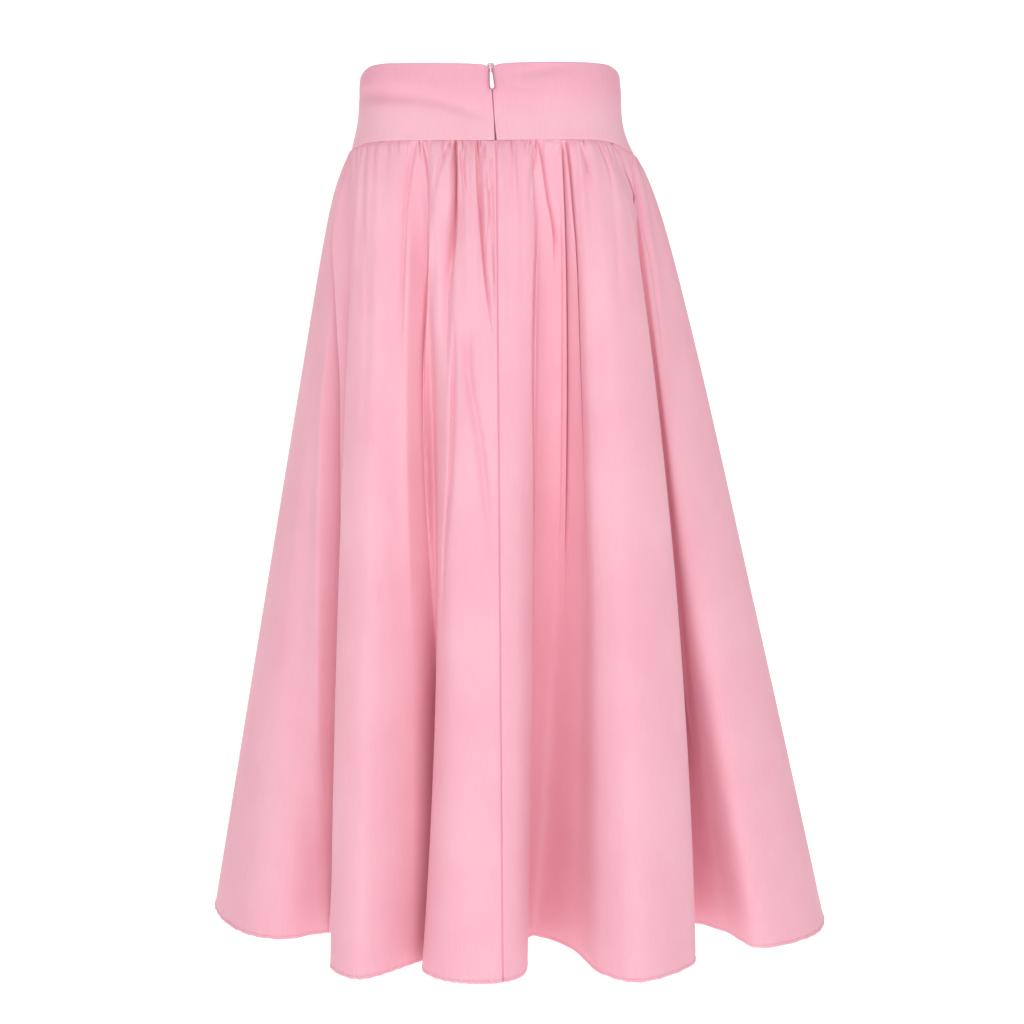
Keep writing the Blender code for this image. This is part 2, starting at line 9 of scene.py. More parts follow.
import bpy
import numpy as np
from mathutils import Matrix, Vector


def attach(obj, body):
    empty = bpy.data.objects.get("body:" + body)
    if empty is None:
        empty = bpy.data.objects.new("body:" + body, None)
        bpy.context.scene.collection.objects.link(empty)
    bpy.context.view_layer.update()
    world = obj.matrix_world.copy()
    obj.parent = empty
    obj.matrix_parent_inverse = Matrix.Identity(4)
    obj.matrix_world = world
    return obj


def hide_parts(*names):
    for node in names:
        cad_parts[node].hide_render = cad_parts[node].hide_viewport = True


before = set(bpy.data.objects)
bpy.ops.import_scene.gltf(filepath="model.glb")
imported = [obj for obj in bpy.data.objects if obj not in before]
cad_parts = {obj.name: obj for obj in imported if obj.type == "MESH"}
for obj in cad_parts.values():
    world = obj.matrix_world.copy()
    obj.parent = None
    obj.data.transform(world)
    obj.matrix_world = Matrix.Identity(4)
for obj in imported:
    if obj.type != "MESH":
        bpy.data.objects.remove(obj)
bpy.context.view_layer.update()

# ---------------------------------------------------------------------------------------------
# Skirt cloth: plain-weave combed cotton of about 230 g/m2, piece-dyed rose. It is matte with a
# faint bloom of fibre ends, a grain of slightly uneven warp threads, and no pattern.
# ---------------------------------------------------------------------------------------------
MM = 0.001
SKIRT_ROSE = "#f1b6c4"
SKIRT_ROSE_DEEP = "#edadbc"
WARP_GRAIN = 1.1 * MM
WARP_RUN = 22 * MM
SLUB_SIZE = 90 * MM
# Real threads lie 0.25 mm apart. They are drawn 0.9 mm apart, as finer ones would not show.
THREAD_DRAWN = 0.9 * MM


def linear(hex_colour):
    """The linear RGBA of an sRGB hex colour."""
    parts = [int(hex_colour[place:place + 2], 16) / 255 for place in (1, 3, 5)]
    light = [part / 12.92 if part <= 0.04045 else ((part + 0.055) / 1.055) ** 2.4 for part in parts]
    return (*light, 1.0)


def add_node(material, kind, settings=None, values=None, links=None):
    """Adds a node of a kind, with its settings, its socket values and its incoming links."""
    node = material.node_tree.nodes.new(kind)
    for name, setting in (settings or {}).items():
        setattr(node, name, setting)
    for name, value in (values or {}).items():
        node.inputs[name].default_value = value
    for name, source in (links or {}).items():
        material.node_tree.links.new(source, node.inputs[name])
    return node


def empty_material(name):
    """A new node material with only its output, and that output's surface socket."""
    material = bpy.data.materials.new(name)
    material.use_nodes = True
    material.node_tree.nodes.clear()
    output = add_node(material, "ShaderNodeOutputMaterial")
    return material, output.inputs["Surface"]


def shaded(material, surface, colour, relief, strength, relief_height, settings):
    """Ends a material: its relief becomes a bump, and the shader takes that and the colour."""
    bump = add_node(
        material, "ShaderNodeBump", None,
        {"Strength": strength, "Distance": relief_height}, {"Height": relief},
    )
    shader = add_node(
        material, "ShaderNodeBsdfPrincipled", None, settings,
        {"Base Color": colour, "Normal": bump.outputs["Normal"]},
    )
    material.node_tree.links.new(shader.outputs["BSDF"], surface)
    return material


def woven_cotton(name, colour, deep_colour, bump_height, painted_shade_depths=(0.0, 0.0)):
    """Combed cotton, which scatters light evenly and has a soft sheen of fibre ends: the colour
    drifts a little along slubs and single warp threads, and the bump has the same grain,
    stretched along the cloth's length. Painted shade darkens the colour down from the top edge,
    fully to the first of two depths and fading out by the second. Reads the cloth's own UV map,
    which is in metres of cloth."""
    material, surface = empty_material(name)
    place = add_node(material, "ShaderNodeUVMap", {"uv_map": "cloth"})
    grain_place = add_node(
        material, "ShaderNodeMapping", None,
        {"Scale": (1 / WARP_GRAIN, 1 / WARP_RUN, 1)}, {"Vector": place.outputs["UV"]},
    )
    grain = add_node(
        material, "ShaderNodeTexNoise", {"noise_dimensions": "2D"},
        {"Scale": 1.0, "Detail": 2.0, "Roughness": 0.6}, {"Vector": grain_place.outputs["Vector"]},
    )
    slub = add_node(
        material, "ShaderNodeTexNoise", {"noise_dimensions": "2D"},
        {"Scale": 1 / SLUB_SIZE, "Detail": 3.0, "Roughness": 0.55}, {"Vector": place.outputs["UV"]},
    )
    thread_place = add_node(
        material, "ShaderNodeMapping", None,
        {"Scale": (1 / THREAD_DRAWN, 1 / THREAD_DRAWN, 1)}, {"Vector": place.outputs["UV"]},
    )
    thread = add_node(
        material, "ShaderNodeTexVoronoi", {"voronoi_dimensions": "2D", "distance": "CHEBYCHEV"},
        {"Scale": 1.0, "Randomness": 0.35}, {"Vector": thread_place.outputs["Vector"]},
    )
    mixed = add_node(
        material, "ShaderNodeMath", {"operation": "MULTIPLY_ADD"},
        {1: 0.55}, {0: grain.outputs["Fac"], 2: slub.outputs["Fac"]},
    )
    drift = add_node(
        material, "ShaderNodeMapRange", None,
        {"From Min": 0.55, "From Max": 1.05}, {"Value": mixed.outputs["Value"]},
    )
    colour_mix = add_node(
        material, "ShaderNodeMix", {"data_type": "RGBA"},
        {"A": linear(deep_colour), "B": linear(colour)}, {"Factor": drift.outputs["Result"]},
    )
    split = add_node(material, "ShaderNodeSeparateXYZ", None, None, {"Vector": place.outputs["UV"]})
    # Painted shade on the cloth's upper part: the colour is multiplied darker, fully down to the first
    # depth and fading out by the second.
    painted_shade_share = add_node(
        material, "ShaderNodeMapRange", {"interpolation_type": "SMOOTHSTEP"},
        {"From Min": -painted_shade_depths[1], "From Max": -painted_shade_depths[0]}, {"Value": split.outputs["Y"]},
    )
    colour_with_painted_shade = add_node(
        material, "ShaderNodeMix", {"data_type": "RGBA", "blend_type": "MULTIPLY"},
        {"B": linear("#f7e9f1")}, {"Factor": painted_shade_share.outputs["Result"], "A": colour_mix.outputs["Result"]},
    )
    weave = add_node(
        material, "ShaderNodeMath", {"operation": "MULTIPLY_ADD"},
        {1: 0.6}, {0: thread.outputs["Distance"], 2: grain.outputs["Fac"]},
    )
    return shaded(
        material, surface, colour_with_painted_shade.outputs["Result"], weave.outputs["Value"], 0.5, bump_height,
        {"Roughness": 0.86, "IOR": 1.46, "Specular IOR Level": 0.25, "Sheen Weight": 0.18,
         "Sheen Roughness": 0.55, "Sheen Tint": linear("#ffdfe8")},
    )


# ---------------------------------------------------------------------------------------------
# Skirt panels: a front and two backs, each gathered along its top edge, sewn to the waistband
# and left to fall in deep soft folds. Each is a thin shell on its solid's form.
# ---------------------------------------------------------------------------------------------
BAND_HEIGHT = 0.065
SEAM_HALF_WIDTH = 0.1245
SEAM_HALF_DEPTH = 0.0995
RING_POWER = 3.0
SKIRT_DROP = 0.702
HIP_SPRING = 0.09
HIP_RUN = 0.045
FLARE_FADE = 0.03
SEAM_GAP = 0.3 * MM
SEWN_GAP = 0.02 * MM
RIGHT_SIDE_TURN = 93.0
LEFT_SIDE_TURN = 267.0
CENTRE_BACK_SEAM_TURN = 3.3
TURN_BLUR = 2.0
CLOTH_THICKNESS = 0.45 * MM
HEM_THICKNESS = 1.3 * MM
HEM_DEPTH = 3.2 * MM

# The large folds: seam turn in degrees, place at the hem and sway half way down, in millimetres.
FOLDS = np.array([
    ("centre_back", 3.3, 12, -213, 0, 0),
    ("third_crest_end", 14, 27, -199, 0, 0),
    ("third_right_edge", 22, 33, -168, 2, 0),
    ("third_right_wall", 26, 27, -122, 3, 0),
    ("hollow", 32, 39, -85, 11, -4),
    ("fourth_flank", 35, 71, -121, 10, -6),
    ("fourth_shoulder", 39, 95, -190, 4, -4),
    ("fourth_crest", 48, 124, -213, 6, -4),
    ("fourth_right_edge", 57, 177, -160, 12, -4),
    ("fourth_right_wall", 61, 168, -98, 9, 0),
    ("gap_valley", 65, 182, -46, 7, 4),
    ("fifth_flank", 70, 211, -72, -5, -26),
    ("fifth_crest", 77, 236, -120, 0, -8),
    ("fifth_right", 85, 291, -82, 4, 0),
    ("right_side", 93, 308, -12, 2, 0),
    ("sixth_crest", 102, 291, 66, 0, 2),
    ("sixth_valley", 113, 206, 62, 0, 0),
    ("seventh_edge", 121, 222, 132, 0, 0),
    ("seventh_crest", 130, 184, 178, 0, 4),
    ("seventh_valley", 141, 126, 116, 0, 0),
    ("eighth_edge", 148, 133, 176, 0, 0),
    ("eighth_crest", 158, 88, 214, 0, 4),
    ("eighth_valley", 170, 40, 126, 0, 0),
    ("ninth_edge", 177, 42, 186, 0, 0),
    ("ninth_crest", 186, 0, 222, 0, 4),
    ("ninth_valley", 196, -46, 134, 0, 0),
    ("tenth_edge", 203, -44, 190, 0, 0),
    ("tenth_crest", 213, -92, 214, 0, 4),
    ("tenth_valley", 224, -126, 118, 0, 0),
    ("eleventh_edge", 231, -136, 172, 0, 0),
    ("eleventh_crest", 241, -182, 160, 0, 4),
    ("eleventh_valley", 254, -196, 60, 0, 0),
    ("left_side", 267, -257, 34, 0, 0),
    ("first_left", 275, -251, -24, -1, 0),
    ("first_crest_start", 282, -216, -82, 0, 0),
    ("first_crest", 287, -184, -95, 0, 0),
    ("first_right", 291.5, -147, -76, 0, -18),
    ("first_valley", 294.5, -119, -84, -2, -12),
    ("second_left_wall", 297, -126, -128, -2, 0),
    ("second_left_edge", 300, -135, -175, -4, 0),
    ("second_crest", 309, -109, -205, 0, -2),
    ("second_right", 322, -66, -165, 2, 0),
    ("narrow_valley", 327, -47, -142, 6, 8),
    ("third_left_edge", 331, -57, -180, 12, 2),
    ("third_crest_start", 339, -38, -208, 6, 0),
    ("third_crest", 350, -9, -217, 0, 0),
], dtype=[("name", "U24"), ("turn", float), ("x", float), ("y", float),
          ("sway_x", float), ("sway_y", float)])

# Tucks: the deeper gathers. Half width and drift in degrees, depth in millimetres outwards,
# reach as the fall at which they have faded.
TUCKS = np.array([
    ("zip_left_valley", -7.5, 1.8, -2.5, 5.5, 0.26),
    ("zip_left_ridge", -11.5, 2.6, 2.5, 3.0, 0.22),
    ("deep_valley", -16.5, 1.9, -5.0, 1.0, 0.24),
    ("narrow_ridge", -24.0, 3.0, 3.0, 0.0, 0.30),
    ("zip_right_ridge", 12.0, 3.0, 2.5, 1.0, 0.20),
    ("slanting_valley", 21.5, 2.0, -3.5, 4.5, 0.20),
    ("fourth_valley", 42.5, 2.2, -2.5, 1.0, 0.14),
    ("left_valley", -47.0, 2.6, -2.5, -1.0, 0.22),
    ("fifth_groove", 70.5, 2.0, -3.0, 1.0, 0.40),
    ("front_right_valley", 128.0, 2.2, -4.0, 1.5, 0.30),
    ("front_right_ridge", 153.0, 3.0, 3.5, 1.0, 0.40),
    ("front_centre_valley", 181.0, 2.0, -4.0, -2.0, 0.28),
    ("front_left_ridge", 207.0, 3.0, 3.5, -1.0, 0.35),
    ("front_left_valley", 235.0, 2.2, -4.0, -1.5, 0.30),
], dtype=[("name", "U24"), ("turn", float), ("half_width", float), ("depth", float),
          ("drift", float), ("reach", float)])

# The band is set by hand, so its edges wander round the body: how far its top edge and the waist
# seam rise, and how far the seam flares out over the gathers, in millimetres.
WAIST_WANDER = np.array([
    (0, 0.2, 0.7, 0), (12, 1.6, 0.9, 0), (24, 2.2, 1.2, 0), (40, 3.0, 1.8, 0), (50, 3.4, 1.8, 0),
    (60, 3.0, -0.4, 0.6), (68, 0.6, -3.2, 2.4), (75, -1.6, -5.0, 4.2), (84, -2.4, -5.2, 5.2),
    (95, -2.0, -4.6, 4.6), (115, 0, -2.5, 2), (140, 0, 0, 0), (180, 0, 0, 0), (220, 0, 0, 0),
    (250, -1.0, -0.6, 0), (275, -3.0, -1.0, 0), (288, -3.0, -1.4, 0), (295, 0, -1.6, 0),
    (300, 2.0, -0.6, 0), (306, 2.8, 0.6, 0), (320, 2.1, 0.9, 0), (348, 0.9, 0.7, 0),
], dtype=[("turn", float), ("top_rise", float), ("seam_rise", float), ("flare", float)])

GATHERS_AROUND = 54
GATHER_DEPTH = 2.1 * MM
GATHER_DEPTH_AT_SEAM = 0.5 * MM
GATHER_SWELL = 0.018
GATHER_FADE = 0.13
GATHER_SHARE = 0.7
TUCK_RISE = 0.12


def ring(turn, half_width, half_depth):
    """Superellipse ring: the ray at this turn meets |x/w|^p + |y/d|^p = 1."""
    across, back = np.sin(np.radians(turn)), -np.cos(np.radians(turn))
    reach = (np.abs(across / half_width) ** RING_POWER
             + np.abs(back / half_depth) ** RING_POWER) ** (-1 / RING_POWER)
    return reach * across, reach * back


def degrees_from(middle, turn):
    """Degrees round the body from a middle to a turn, from -180 to 180."""
    return np.mod(turn - middle + 180, 360) - 180


def cubic(t, step, values, slopes):
    """Cubic at a share t of a step between two values, each with its slope."""
    return (values[0] * (2 * t**3 - 3 * t**2 + 1) + slopes[0] * step * (t**3 - 2 * t**2 + t)
            + values[1] * (3 * t**2 - 2 * t**3) + slopes[1] * step * (t**3 - t**2))


def closed_curve(stations, values, where):
    """Closed cubic curve through values at stations. The slope at a station is the mean of its
    two chords' slopes, each weighted by the other chord's length."""
    steps = np.diff(stations)
    rises = (np.roll(values, -1, axis=0) - values) / steps[:, None]
    before = np.roll(steps, 1)[:, None]
    slopes = (np.roll(rises, 1, axis=0) * steps[:, None] + rises * before) / (before + steps[:, None])
    where = np.mod(where, stations[-1])
    piece = np.clip(np.searchsorted(stations, where, side="right") - 1, 0, len(steps) - 1)
    after = (piece + 1) % len(steps)
    step = steps[piece][..., None]
    t = (where - stations[piece])[..., None] / step
    return cubic(t, step, (values[piece], values[after]), (slopes[piece], slopes[after]))


def hem_curve(turn):
    """Hem place (x, y) and sway of the cloth sewn in at a turn. The turn becomes a station on
    the closed curve by the table, averaged over nearby turns so that its speed has no jumps."""
    places = np.stack([FOLDS["x"], FOLDS["y"]], axis=-1)
    chords = np.sqrt(np.linalg.norm(np.roll(places, -1, axis=0) - places, axis=1))
    stations = np.concatenate([[0.0], np.cumsum(chords)])
    first = FOLDS["turn"][0]
    around = np.mod(turn - first, 360) + first
    turns = np.concatenate([FOLDS["turn"] + lap for lap in (-360, 0, 360)])
    long_stations = np.concatenate([stations[:-1] + lap * stations[-1] for lap in (-1, 0, 1)])
    shifts = np.linspace(-TURN_BLUR, TURN_BLUR, 9)
    where = np.mean([np.interp(around + shift, turns, long_stations) for shift in shifts], axis=0)
    values = np.stack([FOLDS[column] for column in ("x", "y", "sway_x", "sway_y")], axis=-1)
    found = closed_curve(stations, values * MM, where)
    return found[..., :2], found[..., 2:]


def waist_wander(turn):
    """Rise of the band's top edge, rise of the waist seam and flare of the seam at a turn."""
    stations = np.append(WAIST_WANDER["turn"], 360.0)
    values = np.stack([WAIST_WANDER[column] for column in ("top_rise", "seam_rise", "flare")], axis=-1)
    return np.moveaxis(closed_curve(stations, values * MM, turn), -1, 0)


def skirt_folds(turn, fall):
    """Threads of cloth run from the seam's ring to the hem curve. The share of the way is the
    fall plus a spring over the hip that dies out, and the sway is 4 f (1 - f) of its value."""
    x, y = ring(turn, SEAM_HALF_WIDTH, SEAM_HALF_DEPTH)
    _, seam_rise, flare = waist_wander(turn)
    wider = 1 + flare * np.exp(-fall / FLARE_FADE) / np.hypot(x, y)
    x, y = x * wider, y * wider
    hem, sway = hem_curve(turn)
    spread = fall + HIP_SPRING * (1 - fall) * (1 - np.exp(-fall / HIP_RUN))
    swing = 4 * fall * (1 - fall)
    return np.stack([
        x + (hem[..., 0] - x) * spread + sway[..., 0] * swing,
        y + (hem[..., 1] - y) * spread + sway[..., 1] * swing,
        -BAND_HEIGHT - SEAM_GAP - SKIRT_DROP * fall + seam_rise * (1 - fall) ** 3,
    ], axis=-1)


def gather_wave(turn, fall):
    """Small gathers: a cosine round the seam with an uneven phase and height, held low in the
    stitching, swelling below it and fading down."""
    radians = np.radians(turn)
    phase = (GATHERS_AROUND * radians + 1.5 * np.sin(7 * radians + 0.8)
             + 1.1 * np.sin(16 * radians + 2.1))
    uneven = 0.75 + 0.3 * np.sin(11 * radians + 0.4) + 0.25 * np.sin(5 * radians + 1.9)
    swell = 1 - np.exp(-fall / GATHER_SWELL)
    height = GATHER_DEPTH_AT_SEAM + (GATHER_DEPTH - GATHER_DEPTH_AT_SEAM) * swell
    return height * np.exp(-((fall / GATHER_FADE) ** 1.5)) * uneven * np.cos(phase)


def tuck_wave(turn, fall):
    """Deeper tucks: each a rounded ridge or trough, exp(-(aside / width)^2), that drifts and
    widens down to its reach."""
    push = np.zeros(np.broadcast(turn, fall).shape)
    for tuck in TUCKS:
        share = fall / tuck["reach"]
        middle = tuck["turn"] + tuck["drift"] * np.clip(share, 0, 1)
        aside = degrees_from(middle, turn)
        body = np.exp(-((aside / (tuck["half_width"] * (1 + share))) ** 2))
        depth = np.clip(share / TUCK_RISE, 0, 1) * np.clip(1 - share, 0, 1) ** 1.3
        push += tuck["depth"] * MM * body * depth
    return push


# Creases: the sharp lines where one fold laps over the next. Depth is inwards in millimetres, or
# outwards where it is a ridge, and each side has its own width in millimetres, so that one side
# is a steep lip and the other a soft flank. Hold is the share of the path that keeps the full
# depth, rise is the fall over which the depth grows, and the path has (fall, turn) stations.
CREASES = np.array([
    ("first_lap", 19, 4.4, 0.8, 0.9, 0.05, ((0.01, -71.8), (0.067, -75.7), (0.19, -71.3), (0.38, -69),
     (0.6, -68.2), (0.8, -68.3), (1.02, -68.6))),
    ("first_rise", -5, 0.8, 10, 0.5, 0.06, ((0.03, -73.5), (0.07, -74.8), (0.19, -70.6),
     (0.32, -69.4))),
    ("first_fill", -9, 16, 5, 0.5, 0.2, ((0.2, -73), (0.6, -70), (1.1, -68.5))),
    ("second_soft", 3.4, 2.6, 1.6, 0.5, 0.008, ((0, -33.5), (0.033, -36.2), (0.08, -38.2),
     (0.17, -39.6), (0.3, -40.8))),
    ("third_lap", 3.2, 1.8, 0.6, 0.3, 0.008, ((0, -31.1), (0.031, -29.4), (0.07, -29.3), (0.126, -30.8),
     (0.2, -33), (0.27, -34.8), (0.62, -33.7))),
    ("third_rise", -6, 0.9, 7, 0.5, 0.08, ((0.08, -29.4), (0.13, -30.2), (0.17, -31.6), (0.27, -33.9),
     (0.66, -32.8))),
    ("third_fill", -5, 9, 6, 0.5, 0.08, ((0.1, -36.6), (0.27, -38.6), (0.66, -38))),
    ("third_gap", 14, 4, 1.2, 0.75, 0.2, ((0.58, -33.6), (0.7, -33.2), (1.02, -32.6))),
    ("second_band", 1.8, 6, 6, 0.5, 0.06, ((0.04, -57), (0.17, -53), (0.42, -52.5))),
    ("oblique", 3.4, 1.8, 1.8, 0.5, 0.008, ((0, -18), (0.027, -23), (0.075, -27.5))),
    ("oblique_soft", 3, 1, 1.4, 0.4, 0.008, ((0.01, -14.6), (0.05, -13.6), (0.08, -13))),
    ("deep_pleat", 8, 2.8, 0.6, 0.6, 0.008, ((0, -15.8), (0.053, -16.1), (0.109, -16.9), (0.15, -18.6),
     (0.2, -20.6))),
    ("deep_soft", 9, 6.5, 4.5, 0.5, 0.06, ((0.07, -17.6), (0.11, -18.6), (0.169, -21), (0.32, -23.2))),
    ("diamond_left", 5, 2.2, 2.8, 0.5, 0.07, ((0.22, -18.6), (0.29, -19.3), (0.4, -21.3), (0.5, -24.8),
     (0.62, -26.4))),
    ("diamond_right", 6, 4.5, 3.4, 0.5, 0.05, ((0.22, -11.6), (0.289, -11), (0.35, -6.6), (0.434, -2.9),
     (0.52, 1.2))),
    ("short_line", 3.6, 0.7, 1.6, 0.5, 0.008, ((0, -11.4), (0.03, -12.5), (0.08, -11.2))),
    ("zip_left", 4.8, 0.6, 3, 0.75, 0.008, ((0, -6.5), (0.053, -6), (0.109, -4.7), (0.17, -2.8),
     (0.24, 1.2))),
    ("zip_left_soft", 3, 0.8, 1, 0.6, 0.008, ((0, -2.6), (0.044, -1.6), (0.081, -0.3), (0.117, -2),
     (0.15, -3.4))),
    ("beside_seam", 2.4, 0.8, 0.7, 0.6, 0.008, ((0.02, 0.8), (0.08, 1.2), (0.25, 1.8))),
    ("zip_right_soft", 2.6, 0.8, 1.6, 0.5, 0.008, ((0, 13.1), (0.02, 13.6), (0.08, 13.3))),
    ("fourth_soft", 2.2, 1.5, 0.8, 0.5, 0.008, ((0, 21), (0.03, 21.2), (0.053, 19.9), (0.1, 18.5))),
    ("slanting", 4.8, 0.6, 3, 0.6, 0.008, ((0, 22.9), (0.031, 25.7), (0.074, 28.2), (0.103, 29.8),
     (0.17, 30.4))),
    ("hollow_left", 7, 0.6, 3.4, 0.5, 0.15, ((0.03, 21), (0.1, 22.4), (0.17, 21.4), (0.27, 20.7),
     (0.51, 22.1), (0.95, 19.5))),
    ("hollow_ridge", -4, 9, 0.8, 0.6, 0.1, ((0.06, 32.2), (0.13, 32.1), (0.27, 31.9), (0.6, 31.8))),
    ("strip_left", 5.2, 0.7, 1.9, 0.6, 0.02, ((0, 33.5), (0.07, 33.6), (0.14, 33.5), (0.27, 33.2),
     (0.6, 32.8))),
    ("strip_right", 6.5, 2.4, 0.7, 0.6, 0.008, ((0, 35.4), (0.033, 36), (0.08, 36.4), (0.131, 36.9),
     (0.27, 36.6), (0.44, 36.9), (0.67, 38.2))),
    ("flank_line", 2.4, 0.8, 1.4, 0.5, 0.008, ((0.004, 40.6), (0.024, 42.1), (0.06, 43.8))),
    ("shoulder_line", 2.4, 1, 1.2, 0.5, 0.008, ((0, 48.6), (0.029, 50.8), (0.07, 51.6))),
    ("grey_band", 1.4, 5, 3.4, 0.5, 0.04, ((0.04, 51.4), (0.1, 51), (0.24, 49.8))),
    ("fifth_lap", 16, 1, 1.8, 0.6, 0.16, ((0.002, 56.6), (0.03, 61.2), (0.067, 65.6), (0.1, 67.8),
     (0.13, 68.7), (0.27, 68.8), (0.5, 68.6), (0.8, 68))),
    ("side_swell", -1.8, 26, 26, 0.4, 0.03, ((0, 84), (0.1, 86), (0.6, 90))),
    ("fifth_soft", 2.6, 2, 2, 0.5, 0.008, ((0.01, 70.4), (0.07, 70.4), (0.114, 73.4), (0.33, 73.5))),
    ("centre_seam", 1.7, 0.7, 0.6, 0.9, 0.008, ((0, 3.3), (1.5, 3.3))),
    ("right_seam", 0.9, 0.6, 0.6, 0.9, 0.008, ((0, 93), (1.5, 93))),
    ("left_seam", 0.9, 0.6, 0.6, 0.9, 0.008, ((0, 267), (1.5, 267))),
], dtype=[("name", "U24"), ("depth", float), ("left", float), ("right", float), ("hold", float),
          ("rise", float), ("path", object)])
PUSH_LEAN = 2.0
SEAM_TUCK = 1.6 * MM
SEAM_TUCK_FADE = 0.003
FINE_GATHERS = 108
FINE_GATHER_SEED = 11
FINE_GATHER_JITTER = 0.42
FINE_GATHER_LENGTHS = (0.012, 0.055)
FINE_GATHER_SLANT = 1.6
FINE_GATHER_DEPTHS = (1.2, 3.6)
FINE_GATHER_WIDTHS = (0.3, 0.5)
STITCH_UP = 2.3 * MM
HEM_PUCKER = 0.3 * MM
HEM_BEAD = 0.35 * MM
HEM_FURROW = 0.3 * MM
HEM_UNEVEN = 0.22 * MM


def smooth_path(stations, fall):
    """Cubic curve through (fall, turn) stations, held level past both ends. The slope at an
    inner station is the mean of its two chords' slopes."""
    falls, turns = np.array(stations).T
    chords = np.diff(turns) / np.diff(falls)
    slopes = np.concatenate([[chords[0]], (chords[1:] + chords[:-1]) / 2, [chords[-1]]])
    where = np.clip(fall, falls[0], falls[-1])
    piece = np.clip(np.searchsorted(falls, where, side="right") - 1, 0, len(chords) - 1)
    step = np.diff(falls)[piece]
    t = (where - falls[piece]) / step
    return cubic(t, step, (turns[piece], turns[piece + 1]), (slopes[piece], slopes[piece + 1]))


def smooth_step(share):
    """Rises from 0 to 1 with level ends: 3 s^2 - 2 s^3."""
    share = np.clip(share, 0, 1)
    return 3 * share**2 - 2 * share**3


def groove(turn, fall, crease):
    """One crease: exp(-|aside / width|^1.5), where aside is the distance along the cloth from
    the path. It rises below the path's top and fades below the share it holds."""
    first, last = crease["path"][0][0], crease["path"][-1][0]
    middle = smooth_path(crease["path"], fall)
    degree = np.linalg.norm(skirt_folds(middle + 0.25, fall) - skirt_folds(middle - 0.25, fall),
                            axis=-1) * 2
    aside = degrees_from(middle, turn) * degree
    width = np.where(aside < 0, crease["left"], crease["right"]) * MM
    rise = smooth_step((fall - first + crease["rise"] / 4) / crease["rise"])
    fade = smooth_step((last - fall) / ((1 - crease["hold"]) * (last - first)))
    return -crease["depth"] * MM * rise * fade * np.exp(-(np.abs(aside / width) ** 1.5))


def fine_gathers(turn, fall):
    """Small puckers just below the seam all round: grooves exp(-|aside / width|^1.6) at uneven
    turns, each with its own depth, length and slant, drawn from a fixed seed."""
    draw = np.random.default_rng(FINE_GATHER_SEED)
    push = np.zeros(np.broadcast(turn, fall).shape)
    for number in range(FINE_GATHERS):
        top = 360 * (number + draw.uniform(-FINE_GATHER_JITTER, FINE_GATHER_JITTER)) / FINE_GATHERS
        length = draw.uniform(*FINE_GATHER_LENGTHS)
        slant = draw.uniform(-FINE_GATHER_SLANT, FINE_GATHER_SLANT)
        depth = draw.uniform(*FINE_GATHER_DEPTHS)
        width = draw.uniform(*FINE_GATHER_WIDTHS)
        aside = degrees_from(top + slant * fall / length, turn)
        body = np.exp(-(np.abs(aside / (width * (1 + fall / length))) ** 1.6))
        push -= depth * MM * body * smooth_step(1 - fall / length) * smooth_step(fall / 0.003 + 0.35)
    return push


def rolled_hem(turn, fall):
    """How far the hem stands out and hangs down: small uneven waves that its stitching draws
    into the last centimetre, the bead of the roll, and the furrow along the stitches."""
    radians = np.radians(turn)
    wave = (np.sin(173 * radians + 3.1 * np.sin(9 * radians))
            + 0.7 * np.sin(268 * radians + 2.3 * np.sin(14 * radians + 1)))
    up = (1 - fall) * SKIRT_DROP
    drawn_in = smooth_step((9 * MM - up) / (7 * MM))
    furrow = np.exp(-(((up - STITCH_UP) / (0.7 * MM)) ** 2))
    bead = smooth_step((HEM_DEPTH - up) / (0.6 * MM))
    out = wave * HEM_PUCKER * drawn_in + HEM_BEAD * bead - HEM_FURROW * furrow
    return out, HEM_UNEVEN * drawn_in * np.sin(131 * radians + 2.7 * np.sin(11 * radians + 2))


def skirt_surface(turn, fall):
    """Outer face of the skirt: the folds pushed out by gathers and tucks, and in by creases and
    fine gathers, all square to the waist's ring and leaning to the back and the front. The first
    millimetres below the seam turn in under the band."""
    x, y = ring(turn + 0.2, SEAM_HALF_WIDTH, SEAM_HALF_DEPTH)
    x_before, y_before = ring(turn - 0.2, SEAM_HALF_WIDTH, SEAM_HALF_DEPTH)
    run = np.hypot(x - x_before, y - y_before)
    facing = (y - y_before) / run, (x_before - x) / run - PUSH_LEAN * np.cos(np.radians(turn))
    level = np.stack([*facing, np.zeros_like(run)], axis=-1)
    level /= np.linalg.norm(level, axis=-1, keepdims=True)
    push = GATHER_SHARE * gather_wave(turn, fall) + tuck_wave(turn, fall) + fine_gathers(turn, fall)
    for crease in CREASES:
        push += groove(turn, fall, crease)
    push -= SEAM_TUCK * np.exp(-((fall / SEAM_TUCK_FADE) ** 2))
    hem_out, hem_down = rolled_hem(turn, fall)
    push += hem_out
    surface = skirt_folds(turn, fall) + level * push[..., None]
    surface[..., 2] -= hem_down
    return surface


def grid_normals(points):
    """Unit normals of a grid of points: the cross product of its steps down and along."""
    normals = np.cross(np.gradient(points, axis=0), np.gradient(points, axis=1))
    return normals / np.linalg.norm(normals, axis=-1, keepdims=True)


def add_piece(name, points, faces, material, sharp_angle):
    """Object from points and faces, shaded smooth but for edges sharper than an angle."""
    mesh = bpy.data.meshes.new(name)
    mesh.from_pydata(np.asarray(points).reshape(-1, 3).tolist(), [], faces)
    mesh.materials.append(material)
    mesh.shade_smooth()
    mesh.set_sharp_from_angle(angle=math.radians(sharp_angle))
    piece = bpy.data.objects.new(name, mesh)
    bpy.context.scene.collection.objects.link(piece)
    return piece


